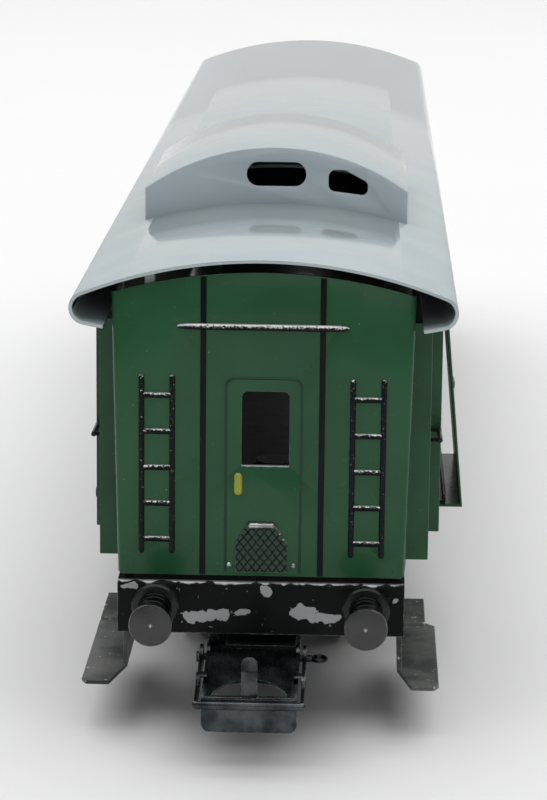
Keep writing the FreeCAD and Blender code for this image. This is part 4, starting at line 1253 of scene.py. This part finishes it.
@dataclass
class EndWall(Assembly):
    """A pressed end wall with its door line, strips, ladders, handrail, pull and tread."""

    half_width: float = 13.95
    foot: float = 15.9
    foot_radius: float = 0.45
    corner: float = 43.15
    apex: float = 45.2
    return_depth: float = 6.5
    thickness: float = 0.4
    bend: float = 0.5
    window: tuple[float, float, float, float] = (-1.95, 2.55, 26.75, 33.9)
    door: tuple[float, float, float] = (-3.43, 3.67, 35.15)
    strip: tuple[float, float, float] = (5.6, 0.55, 0.12)
    rails: tuple[float, float] = (8.5, 11.4)
    rail_ends: tuple[float, float] = (18.0, 35.4)
    rung_top: float = 33.4
    rung_step: float = 3.5
    rung_count: int = 5
    handrail_height: float = 40.05
    handrail_half: float = 8.1
    tread: tuple[tuple[float, float], ...] = (
        (-2.45, 16.3), (2.45, 16.3), (2.45, 19.1), (1.25, 21.2), (-1.25, 21.2), (-2.45, 19.1),
    )
    diamond: tuple[float, float] = (0.78, 0.98)
    top_share: float = 1.022
    foot_share: float = 0.98
    right_ladder_drop: float = 0.15
    arch_steps: int = 32

    def build(self) -> None:
        """Build every piece of the end wall at both ends of the van."""
        shop = self.shop
        shop.both_ends(self.panel(), "green", Slot.GREEN, node="end_wall_{end}")
        # The door line's darker green is painted shade.
        shop.both_ends(self.door_line(), "line", Slot.GREEN)
        shop.both_ends(self.strips(), "strip", Slot.BLACK)
        shop.both_ends(self.ladders(), "relief", Slot.BLACK)
        shop.both_ends(self.handrail(), "rail", Slot.BLACK)
        shop.both_ends(self.pull(), "pull", Slot.GREEN)
        shop.both_ends(self.tread_plate(), "strip", Slot.BLACK)
        shop.both_ends(self.tread_diamonds(), "tread", Slot.GREEN)
        shop.both_ends(self.tread_top(), "worn", Slot.BARE)
        shop.both_ends(self.studs(), "worn", Slot.BARE)

    def arch(self) -> list[Pair]:
        """The arched top edge, from right to left."""
        return bow(self.half_width, self.apex - self.corner, self.apex, self.arch_steps)

    def panel(self) -> Piece:
        """The sheet: bent in plan, trimmed to its arch, with the door's window cut out.

        Returns:
            The front wall's sheet.
        """
        half = self.half_width
        back = self.face + self.return_depth
        corners = ((-half, back), (-half, self.face), (half, self.face), (half, back))
        plan = rounded_path(corners, self.bend)
        path = [Vector((x, y, self.foot)) for x, y in plan]
        rise = ALONG_Z * (self.apex - self.foot + 1)
        wall = sheet("end_wall_panel_front", path, rise, self.thickness, -ALONG_X)
        top = self.arch()
        radii = [self.foot_radius] * 2 + [0.0] * len(top)
        outline = rounded([(-half, self.foot), (half, self.foot)] + top, radii)
        depth = ALONG_Y * (self.return_depth + 2)
        carve(wall, prism("outline", upright(outline, self.face - 1), depth), "INTERSECT")
        left, right, low, high = self.window
        corners = ((left, low), (right, low), (right, high), (left, high))
        opening = rounded(corners, (0.08, 0.08, 0.6, 0.6))
        carve(wall, prism("opening", upright(opening, self.face - 1), ALONG_Y * 3))
        self.widen(wall, lambda place: place.z > self.corner - 0.5, self.top_share)
        self.widen(wall, lambda place: place.z < self.foot + 1.0, self.foot_share)
        return soften(wall, 0.05, 2)

    def widen(self, wall: Piece, test: Test, share: float) -> None:
        """Scale some of the wall's points across the van, about its middle.

        Args:
            wall: The sheet.
            test: Says which points move.
            share: How wide they end, as a share.
        """
        pick_points(wall, test)
        bpy.ops.transform.resize(value=(share, 1, 1), center_override=(0, self.face, 0))
        bpy.ops.object.mode_set(mode="OBJECT")

    def door_line(self) -> Piece:
        """The pressed line round the door, rounded at its top corners.

        Returns:
            The line, half sunk in the wall.
        """
        left, right, top = self.door
        start = self.foot + 0.4
        path = rounded_path(((left, start), (left, top), (right, top), (right, start)), 0.9)
        return wire("end_door_line_front", upright(path, self.face + 0.03), 0.13)

    def strips(self) -> Piece:
        """The two upright strips.

        Returns:
            Both strips in one.
        """
        place, width, proud = self.strip
        low = (place - width / 2, self.face - proud, self.foot + 0.05)
        high = (place + width / 2, self.face + 0.1, self.apex - 0.42)
        right = soften(block("end_strips_front", low, high), 0.1, 3)
        return join("end_strips_front", [right, copied(right, "left_strip", mirror=True)])

    def ladders(self) -> Piece:
        """Both ladders: round rails pressed half into the wall, and their rungs.

        Returns:
            Both ladders in one.
        """
        low, high = self.rail_ends
        middle = self.face - 0.03
        parts = [
            rod(f"rail_{x}", Vector((x, middle, low)), Vector((x, middle, high)), 0.27)
            for x in self.rails
        ]
        first = Vector((self.rails[0], middle, self.rung_top))
        rung = rod("rung", first, first + ALONG_X * (self.rails[1] - self.rails[0]), 0.27)
        parts.append(rung)
        for count in range(1, self.rung_count):
            parts.append(copied(rung, f"rung_{count}", move=-ALONG_Z * self.rung_step * count))
        ladder = join("ladder", parts)
        left = copied(ladder, "left_ladder", mirror=True)
        right = copied(ladder, "right_ladder", move=-ALONG_Z * self.right_ladder_drop)
        bpy.data.objects.remove(ladder)
        return join("end_ladders_front", [right, left])

    def handrail(self) -> Piece:
        """The long handrail across the wall, with pinched ends.

        Returns:
            The handrail.
        """
        middle = Vector((0, self.face - 0.05, self.handrail_height))
        half = self.handrail_half
        profile = [(0.06, -half), (0.2, -half + 0.25), (0.29, -half + 0.9), (0.32, -half + 2.0)]
        profile += [(radius, -place) for radius, place in reversed(profile)]
        return turned("end_handrail_front", middle, ALONG_X, profile, 24)

    def pull(self) -> Piece:
        """The door's upright pull.

        Returns:
            The pull.
        """
        place = Vector((-2.25, self.face, 0))
        piece = rod("end_door_pull_front", place + ALONG_Z * 23.8, place + ALONG_Z * 26.0, 0.4)
        pick_all(piece)
        bpy.ops.transform.resize(value=(1, 0.87, 1), center_override=place)
        return close(piece)

    def tread_plate(self) -> Piece:
        """The dark sunk plate behind the tread's diamonds."""
        plate = prism("end_tread_front", upright(self.tread, self.face - 0.1), ALONG_Y * 0.2)
        return soften(plate, 0.04, 2)

    def tread_diamonds(self) -> Piece:
        """Raised diamonds, one modelled and the rest copied, trimmed to the tread.

        Returns:
            All the diamonds in one.
        """
        wide, tall = self.diamond
        half_x, half_z = wide / 2 - 0.07, tall / 2 - 0.09
        corners = ((-half_x, 0), (0, -half_z), (half_x, 0), (0, half_z))
        start = Vector((-2.45, self.face - 0.2, 16.3))
        points = [start + Vector((x, 0, z)) for x, z in corners]
        one = soften(prism("end_tread_diamonds_front", points, ALONG_Y * 0.2), 0.03, 2)
        rows = []
        for row in range(11):
            shift = Vector((wide / 2 * (row % 2), 0, tall / 2 * row))
            for count in range(7):
                rows.append(copied(one, f"diamond_{row}_{count}", move=shift + ALONG_X * wide * count))
        diamonds = join("end_tread_diamonds_front", [one] + rows)
        trim = prism("trim", upright(self.tread, self.face - 1), ALONG_Y * 2)
        return carve(diamonds, trim, "INTERSECT")

    def tread_top(self) -> Piece:
        """The worn rounded edge over the tread and down its right shoulder.

        Returns:
            The edge and its shoulder in one.
        """
        z = 20.85
        bar = rod("end_tread_top_front", Vector((-1.3, self.face, z)), Vector((1.35, self.face, z)), 0.32)
        shoulder = rod("shoulder", Vector((1.3, self.face, z)), Vector((2.4, self.face, 19.05)), 0.14)
        return join("end_tread_top_front", [bar, shoulder])

    def studs(self) -> Piece:
        """The two domed studs beside the tread.

        Returns:
            Both studs in one.
        """
        dome = [(0.3, 0.1), (0.29, 0.0), (0.24, -0.12), (0.14, -0.2), (0.04, -0.23)]
        place = Vector((3.07, self.face, 16.95))
        right = turned("end_studs_front", place, ALONG_Y, dome, 20)
        return join("end_studs_front", [right, copied(right, "left_stud", mirror=True)])


@dataclass
class Roof(Assembly):
    """The long curved roof with its tucked-in eaves and its tabs."""

    radius: float = 46.0
    apex: float = 46.55
    thickness: float = 0.35
    eave_start: float = 17.2
    eave_radius: float = 1.6
    lip_edge: float = 15.0
    lip_angle: float = 11.0
    hole: tuple[float, float, float] = (12.75, 35.0, 62.0)
    clip: tuple[float, float, float, float] = (-10.7, 0.9, 40.5, 45)

    def build(self) -> None:
        """Build the roof and its tabs."""
        self.shop.finish(self.shell(), "grey", Slot.GREY, "van", "roof")
        self.shop.both_ends(self.tab(), "roof_tab", Slot.GREY)

    def section(self) -> list[Pair]:
        """The outer line from the left lip over the top to the right lip.

        Returns:
            Pairs of X and Z.
        """
        centre = self.apex - self.radius
        lean = math.asin(self.eave_start / self.radius)
        lip = math.radians(self.lip_angle)
        inset = self.radius - self.eave_radius
        eave = (inset * math.sin(lean), centre + inset * math.cos(lean))
        turn = arc(eave, self.eave_radius, math.pi / 2 - lean, lip - math.pi / 2, 14)
        run = (turn[-1][0] - self.lip_edge) * math.tan(lip)
        right = turn + [(self.lip_edge, turn[-1][1] - run)]
        left = [(-x, z) for x, z in reversed(right)]
        over = arc((0, centre), self.radius, math.pi / 2 + lean, math.pi / 2 - lean, 48)
        return left + over[1:-1] + right

    def shell(self) -> Piece:
        """The bent sheet, with the hole under the lookout.

        Returns:
            The roof.
        """
        low, high = node_box("roof")
        path = upright(self.section(), low.y)
        shell = sheet("roof_shell", path, ALONG_Y * (high.y - low.y), self.thickness, -ALONG_Z)
        half, start, end = self.hole
        hole = block("hole", (-half, self.face + start, 30), (half, self.face + end, 60))
        carve(shell, hole)
        return soften(shell, 0.05, 2)

    def tab(self) -> Piece:
        """The tab that hooks behind the end wall.

        Returns:
            The front tab.
        """
        place, width, low, high = self.clip
        left, right = place - width / 2, place + width / 2
        corners = ((left, low), (right, low), (right, high), (left, high))
        outline = rounded(corners, (0.2, 0.2, 0, 0))
        return soften(prism("roof_tab_front", upright(outline, self.face + 0.65), ALONG_Y * 0.3), 0.04, 2)


@dataclass
class Lookout(Assembly):
    """The lookout on the roof: an arched cover and two panels with their openings."""

    half_width: float = 13.75
    shoulder: float = 47.85
    apex: float = 52.35
    foot: float = 44.0
    start: float = 34.0
    length: float = 29.0
    thickness: float = 0.4
    lap: float = 0.2
    lip: float = 0.04
    roof_radius: float = 45.8
    roof_middle: float = 0.55
    arch_steps: int = 40
    slot: tuple[float, float, float] = (3.1, 49.5, 1.22)
    wedge: tuple[tuple[float, float], ...] = (
        (5.45, 50.05), (7.2, 50.0), (9.55, 48.75), (9.55, 47.35), (5.45, 47.85),
    )

    def build(self) -> None:
        """Build the cover and both panels."""
        shop = self.shop
        shop.finish(self.cover(), "grey", Slot.GREY, "van", "lookout_cover")
        front = self.panel()
        middle = self.face + self.start + self.length / 2
        rear = copied(front, "lookout_rear_panel", turn=math.pi)
        rear = copied(rear, "lookout_rear_panel_placed", move=ALONG_Y * 2 * middle)
        bpy.data.objects.remove(bpy.data.objects["lookout_rear_panel"])
        # Both panels take the lighter grey with painted highlight on their rims.
        shop.finish(front, "lookout", Slot.GREY, "van", "lookout_panel_front")
        shop.finish(rear, "lookout", Slot.GREY, "van", "lookout_panel_rear")

    def arch(self, inset: float) -> list[Pair]:
        """The arched top from right to left, so far inside the cover's outer line."""
        rise = self.apex - self.shoulder
        return bow(self.half_width - inset, rise, self.apex - inset, self.arch_steps)

    def cover(self) -> Piece:
        """The bent sheet over the lookout.

        Returns:
            The cover.
        """
        corners = [(self.half_width, self.foot)] + self.arch(0.0) + [(-self.half_width, self.foot)]
        path = upright(corners, self.face + self.start + self.lap)
        length = self.length - 2 * self.lap
        cover = sheet("lookout_shell", path, ALONG_Y * length, self.thickness, ALONG_X)
        return soften(cover, 0.07, 3, 25.0)

    def panel(self) -> Piece:
        """The front panel, with its slot and its wedge-shaped light.

        Returns:
            The front panel.
        """
        half = self.half_width - self.lip
        lean = math.asin(half / self.roof_radius)
        low = arc((0, self.roof_middle), self.roof_radius, math.pi / 2 + lean, math.pi / 2 - lean, 24)
        outline = self.arch(self.lip) + low
        y = self.face + self.start
        panel = prism("lookout_front_panel", upright(outline, y), ALONG_Y * self.thickness)
        reach, height, radius = self.slot
        low_z, high_z = height - radius - 0.05, height + radius + 0.05
        corners = ((-reach, low_z), (reach, low_z), (reach, high_z), (-reach, high_z))
        slot = rounded(corners, radius, 8)
        carve(panel, prism("slot", upright(slot, y - 1), ALONG_Y * 3))
        wedge = rounded(self.wedge, (0.7, 0.7, 0.6, 0.6, 0.7), 6)
        carve(panel, prism("wedge", upright(wedge, y - 1), ALONG_Y * 3))
        return soften(panel, FINE_EDGE, 2)


@dataclass
class Buffers(Assembly):
    """The four turned buffers with their flanges."""

    place: float = 10.05
    height: float = 12.8
    head_face: float = -6.7
    head_radius: float = 2.05
    beam: float = -0.2

    def build(self) -> None:
        """Build the turned steel and the black flange at all four corners."""
        self.shop.four_corners(self.head(), "turned", Slot.TURNED, node="buffer_")
        self.shop.four_corners(self.flange(), "flange", Slot.BLACK)

    def axis_start(self) -> Vector:
        """The point on the buffer's axis in the plane of the end wall."""
        return Vector((self.place, self.face, self.height))

    def head(self) -> Piece:
        """The head with its small centre mark, the shank and its ring.

        Returns:
            The turned part of the front right buffer.
        """
        front = self.head_face
        radius = self.head_radius
        profile = [
            (0.05, front + 0.12), (0.16, front + 0.03), (0.2, front), (radius - 0.16, front),
            (radius - 0.05, front + 0.04), (radius, front + 0.15), (radius, front + 0.55),
            (radius - 0.1, front + 0.72), (1.45, front + 0.9), (1.4, front + 1.1), (1.4, front + 3.1),
            (1.46, front + 3.15), (1.6, front + 3.4), (1.6, front + 3.9), (1.5, front + 4.0),
            (1.5, front + 4.2), (1.6, front + 4.3), (1.6, front + 4.9), (1.5, front + 5.0),
            (1.5, front + 5.2), (1.6, front + 5.3), (1.6, self.beam - 0.5),
        ]
        return turned("buffer_turned_front_right", self.axis_start(), ALONG_Y, profile, 64)

    def flange(self) -> Piece:
        """The flange against the beam.

        Returns:
            The flange of the front right buffer.
        """
        back = self.beam
        profile = [
            (1.5, back - 0.75), (2.1, back - 0.7), (2.28, back - 0.55), (2.3, back - 0.4), (2.3, back),
        ]
        return turned("buffer_flange_front_right", self.axis_start(), ALONG_Y, profile, 48)


@dataclass
class Coupler(Assembly):
    """The hook plate under the tongue, its lifting bail and the bail's pin."""

    side_set: float = -0.62
    half: float = 4.45
    sheet: float = 0.35
    top: float = 8.9
    back: float = 7.0
    bend: float = -2.0
    front: float = -10.3
    front_top: float = 7.15
    apron_bottom: float = 3.9
    window: tuple[float, float, float] = (3.55, -9.9, -6.95)
    hook: tuple[float, float] = (0.75, 10.9)
    pivot: tuple[float, float] = (-0.8, 8.0)
    ear_radius: float = 1.05
    arm_inner: float = 4.75
    bar: tuple[float, float, float] = (5.3, -11.0, 6.6)
    lobe: tuple[float, float] = (-7.0, 1.0)

    def build(self) -> None:
        """Build the plate, the bail and the pin at both ends."""
        shop = self.shop
        shop.both_ends(self.plate(), "blued", Slot.BLUED, "bogie_{end}", "coupler_hook_{end}")
        shop.both_ends(self.bail(), "blued", Slot.BLUED, "bail_{end}", "coupler_bail_{end}")
        shop.both_ends(self.pin(), "blued_dark", Slot.BLUED, "bogie_{end}", "bail_pin_{end}")

    def at(self, x: float, y: float, z: float) -> Vector:
        """A point given from the coupler's middle and the end wall."""
        return Vector((x + self.side_set, y + self.face, z))

    def plate(self) -> Piece:
        """The plate with its D-shaped window, apron, hook and ears.

        Returns:
            The plate and all that is fixed to it.
        """
        pairs = ((self.back, self.top), (self.bend, self.top), (self.front, self.front_top))
        path = [self.at(-self.half, y, z) for y, z in rounded_path(pairs, 1.5)]
        plate = sheet("coupler_plate_front", path, ALONG_X * (2 * self.half), self.sheet, ALONG_Z)
        half, low, high = self.window
        opening = bow(half, high - low, high, 24)
        points = [self.at(x, y, 4.0) for x, y in opening]
        carve(plate, prism("window", points, ALONG_Z * 6))
        rivet_hole = turned("rivet_hole", self.at(0, 3.5, 0), ALONG_Z, [(0.8, 4.0), (0.8, 12.0)], 24)
        carve(plate, rivet_hole)
        soften(plate, FINE_EDGE, 2)
        ears = [self.ear(-self.half), self.ear(self.half - self.sheet)]
        return join("coupler_plate_front", [plate, self.apron(), self.upright_hook(), *ears])

    def apron(self) -> Piece:
        """The apron folded down at the front, rounded at its lower corners.

        Returns:
            The apron.
        """
        low, high = self.apron_bottom, self.front_top
        corners = ((-self.half, low), (self.half, low), (self.half, high), (-self.half, high))
        outline = rounded(corners, (0.8, 0.8, 0.05, 0.05))
        points = [self.at(x, self.front - self.sheet, z) for x, z in outline]
        return soften(prism("apron", points, ALONG_Y * self.sheet), 0.07, 2)

    def upright_hook(self) -> Piece:
        """The narrow hook standing at the front, round at its top and bent back.

        Returns:
            The hook.
        """
        half, top = self.hook
        foot, front = self.front_top - 0.3, self.front + 0.02
        pairs = ((front, foot), (front, top - 1.2), (self.front + 0.6, top))
        path = [self.at(-half, y, z) for y, z in rounded_path(pairs, 1.0)]
        strip = sheet("upright_hook", path, ALONG_X * (2 * half), self.sheet, -ALONG_Y)
        corners = ((-half, 4.0), (half, 4.0), (half, top), (-half, top))
        outline = rounded(corners, (0.01, 0.01, half * 0.97, half * 0.97), 8)
        points = [self.at(x, self.front - 2, z) for x, z in outline]
        carve(strip, prism("round_top", points, ALONG_Y * 5), "INTERSECT")
        return soften(strip, FINE_EDGE, 2)

    def ear(self, inner: float) -> Piece:
        """One of the plate's ears round the pin.

        Args:
            inner: Where its inner face is across the coupler.

        Returns:
            The ear.
        """
        y, z = self.pivot
        points = [self.at(inner, a, b) for a, b in ring((y, z + 0.3), self.ear_radius)]
        return soften(prism("ear", points, ALONG_X * self.sheet), FINE_EDGE, 2)

    def bail(self) -> Piece:
        """The bail: two flat arms with their lobes and tabs, and the round-nosed bar.

        Returns:
            The front bail.
        """
        right = self.arm()
        reach, y, z = self.bar
        bar = rod("bar", self.at(-reach, y, z), self.at(reach, y, z), 0.4, 0.9)
        pick_all(bar)
        bpy.ops.transform.resize(value=(1, 0.75, 1), center_override=self.at(0, y, z))
        close(bar)
        left = copied(right, "left_arm", mirror=True)
        left = copied(left, "left_arm_placed", move=ALONG_X * 2 * self.side_set)
        bpy.data.objects.remove(bpy.data.objects["left_arm"])
        return join("coupler_bail_bent_front", [bar, right, left])

    def arm(self) -> Piece:
        """The right arm with its ear, its lobe and the tab bent inwards.

        Returns:
            The right arm.
        """
        y, z = self.pivot
        bar_y, bar_z = self.bar[1], self.bar[2]
        corners = ((y, z + 0.75), (bar_y - 0.2, bar_z + 0.4), (bar_y - 0.2, bar_z - 0.4), (y, z - 0.75))
        outline = [self.at(self.arm_inner, a, b) for a, b in rounded(corners, (0.3, 0.25, 0.25, 0.3))]
        arm = soften(prism("arm", outline, ALONG_X * self.sheet), FINE_EDGE, 2)
        slope = (z - bar_z) / (y - bar_y)
        lobe_y, radius = self.lobe
        lobe_z = z + slope * (lobe_y - y) + self.sheet
        parts = [arm]
        discs = (("lobe", (lobe_y, lobe_z), radius), ("arm_ear", (y, z + 0.2), self.ear_radius))
        for name, centre, reach in discs:
            points = [self.at(self.arm_inner, a, b) for a, b in ring(centre, reach)]
            parts.append(soften(prism(name, points, ALONG_X * self.sheet), FINE_EDGE, 2))
        low = self.at(self.arm_inner - 0.75, lobe_y - 0.6, 8.1)
        high = self.at(self.arm_inner + 0.3, lobe_y + 0.6, 8.42)
        parts.append(soften(block("tab", low, high), 0.14, 3))
        return join("right_arm", parts)

    def pin(self) -> Piece:
        """The pin with its headed left end and the wire loop at its right.

        Returns:
            The pin and its loop in one.
        """
        y, z = self.pivot
        outer = self.arm_inner + self.sheet
        shaft = rod("bail_pin_wire_front", self.at(-outer - 0.35, y, z), self.at(5.8, y, z), 0.33)
        profile = [(0.3, 0), (0.5, 0.05), (0.52, 0.15), (0.5, 0.3)]
        head = turned("head", self.at(-outer - 0.4, y, z), ALONG_X, profile, 24)
        eye_line = [self.at(x, along, z) for x, along in ring((6.3, y), 0.62, 32)]
        eye = wire("eye", eye_line, 0.23, closed=True)
        return join("bail_pin_wire_front", [shaft, head, eye])


@dataclass
class Wheels(Assembly):
    """The eight turned wheels."""

    axle: float = 32.0
    wheelbase: float = 28.0
    height: float = 6.4

    def build(self) -> None:
        """Build one wheel and copy it to every axle."""
        outer = self.wheel("wheel_turned_outer_front_right", 0)
        inner = copied(outer, "wheel_turned_inner_front_right", move=ALONG_Y * self.wheelbase)
        for wheel in (outer, inner):
            self.shop.four_corners(wheel, "wheel", Slot.WHEEL, node="wheel_")

    def wheel(self, name: str, shift: float) -> Piece:
        """A wheel with its flange, coned tread, rim, dished web and hub.

        Args:
            name: The wheel's name.
            shift: How far it stands behind the outer axle.

        Returns:
            The wheel.
        """
        back = 7.0
        profile = [
            (1.0, back), (6.1, back), (6.32, back + 0.1), (6.4, back + 0.3), (6.36, back + 0.5),
            (6.1, back + 0.66), (5.55, back + 0.8), (5.42, back + 0.95), (5.32, back + 3.0),
            (5.25, back + 3.1), (4.5, back + 3.1), (4.4, back + 3.02), (4.3, back + 2.62),
            (3.4, back + 2.5), (2.1, back + 2.55), (1.95, back + 2.7), (1.9, back + 3.02),
            (1.8, back + 3.1), (1.0, back + 3.1),
        ]
        start = Vector((0, self.face + self.axle + shift, self.height))
        return turned(name, start, ALONG_X, profile, 64)


@dataclass
class PackedPieces:
    """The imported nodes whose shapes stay, with their finishes."""

    shop: Workshop
    finishes: dict[str, tuple[str, float]] = field(default_factory=lambda: {
        "body_side_": ("side", 0.08),
        "sliding_door_": ("side", 0.08),
        "door_rail_": ("black", 0.05),
        "entry_handle_": ("handle", 0.04),
        "underframe": ("black", 0.06),
        "step_bracket_": ("step", 0.1),
        "pivot_rivet_": ("bogie", 0.05),
        "pivot_washer_": ("bogie", 0.05),
        "bogie_frame_": ("bogie", 0.06),
        "coupler_rivet_": ("blued", 0.05),
        "axle_": ("bare", 0.05),
    })

    def build(self) -> None:
        """Paint every node that no new piece stands for."""
        for start, (paint, bevel) in self.finishes.items():
            for node in sorted(name for name in frame["nodes"] if name.startswith(start)):
                self.shop.dress(node, paint, bevel)


@dataclass(frozen=True)
class Lamp:
    """A square soft light, in millimetres and watts."""

    name: str
    place: Colour
    target: Colour
    size: float
    power: float


@dataclass
class Studio:
    """Pale floor, soft lights and the camera."""

    face: float
    lens: float = 127.35
    sensor: float = 36.0
    place: tuple[float, float, float] = (9.26, -259.02, 92.26)
    turn: tuple[float, float, float] = (-0.0318, -0.2244, 0.0107)
    surround: float = 0.12
    lamps: tuple[Lamp, ...] = (
        Lamp("overhead", place=(0, 150, 1000), target=(0, 150, 0), size=2000, power=22),
        Lamp("front_fill", place=(150, -900, 420), target=(0, -90, 25), size=500, power=1.0),
        Lamp("back_card", place=(0, 1500, 520), target=(0, 0, 60), size=2400, power=10),
    )

    def build(self) -> None:
        """Set up everything that isn't the van."""
        self.floor()
        self.world()
        for lamp in self.lamps:
            self.light(lamp)
        self.camera()

    def floor(self) -> None:
        """The pale floor, with the faintest unevenness."""
        bpy.ops.object.select_all(action="DESELECT")
        bpy.ops.mesh.primitive_plane_add(size=8)
        floor = settle("floor")
        graph = Graph("floor_card")
        graph.set(Base_Color=graph.blend(graph.noise(0.01, 2.0), (0.80, 0.80, 0.80), (0.83, 0.83, 0.83)))
        graph.set(Roughness=0.75, Specular_IOR_Level=0.2)
        floor.data.materials.append(graph.material)

    def world(self) -> None:
        """A bright plain surround."""
        world = bpy.data.worlds.new("surround")
        bpy.context.scene.world = world
        bpy.context.scene.view_settings.view_transform = "Standard"
        world.use_nodes = True
        background = world.node_tree.nodes["Background"]
        background.inputs["Color"].default_value = (1.0, 1.0, 1.0, 1.0)
        background.inputs["Strength"].default_value = self.surround

    def light(self, lamp: Lamp) -> None:
        """Hang a light where the camera doesn't see it.

        Args:
            lamp: The light's place, target, size and power.
        """
        bpy.ops.object.light_add(type="AREA", location=Vector(lamp.place) * MM)
        light = bpy.context.view_layer.objects.active
        light.name = lamp.name
        light.data.size = lamp.size * MM
        light.data.energy = lamp.power
        light.visible_camera = False
        away = Vector(lamp.place) - Vector(lamp.target)
        light.rotation_euler = away.to_track_quat("Z", "Y").to_euler()

    def camera(self) -> None:
        """The camera, in front of the left of the van and above it."""
        yaw, pitch, roll = self.turn
        level = math.cos(pitch)
        ahead = Vector((math.sin(yaw) * level, math.cos(yaw) * level, math.sin(pitch)))
        right = ahead.cross(ALONG_Z).normalized()
        up = right.cross(ahead)
        tilted = right * math.cos(roll) + up * math.sin(roll)
        raised = up * math.cos(roll) - right * math.sin(roll)
        bpy.ops.object.camera_add()
        camera = bpy.context.view_layer.objects.active
        axes = Matrix((tilted, raised, -ahead)).transposed().to_4x4()
        x, y, z = self.place
        camera.matrix_world = Matrix.Translation(Vector((x, y + self.face, z)) * MM) @ axes
        camera.data.lens = self.lens
        camera.data.sensor_width = self.sensor
        camera.data.clip_start = 0.01
        camera.data.clip_end = 20.0
        bpy.context.scene.camera = camera


def main() -> None:
    """Build the van's sub-assemblies in order, then the studio."""
    logging.basicConfig(level=logging.INFO, format="%(name)s: %(message)s")
    face = node_box("end_wall_front")[1].y - EndWall.return_depth
    shop = Workshop()
    for assembly in (EndWall, Roof, Lookout, Buffers, Coupler, Wheels):
        assembly(shop, face).build()
    PackedPieces(shop).build()
    Studio(face).build()


if __name__ == "__main__":
    main()
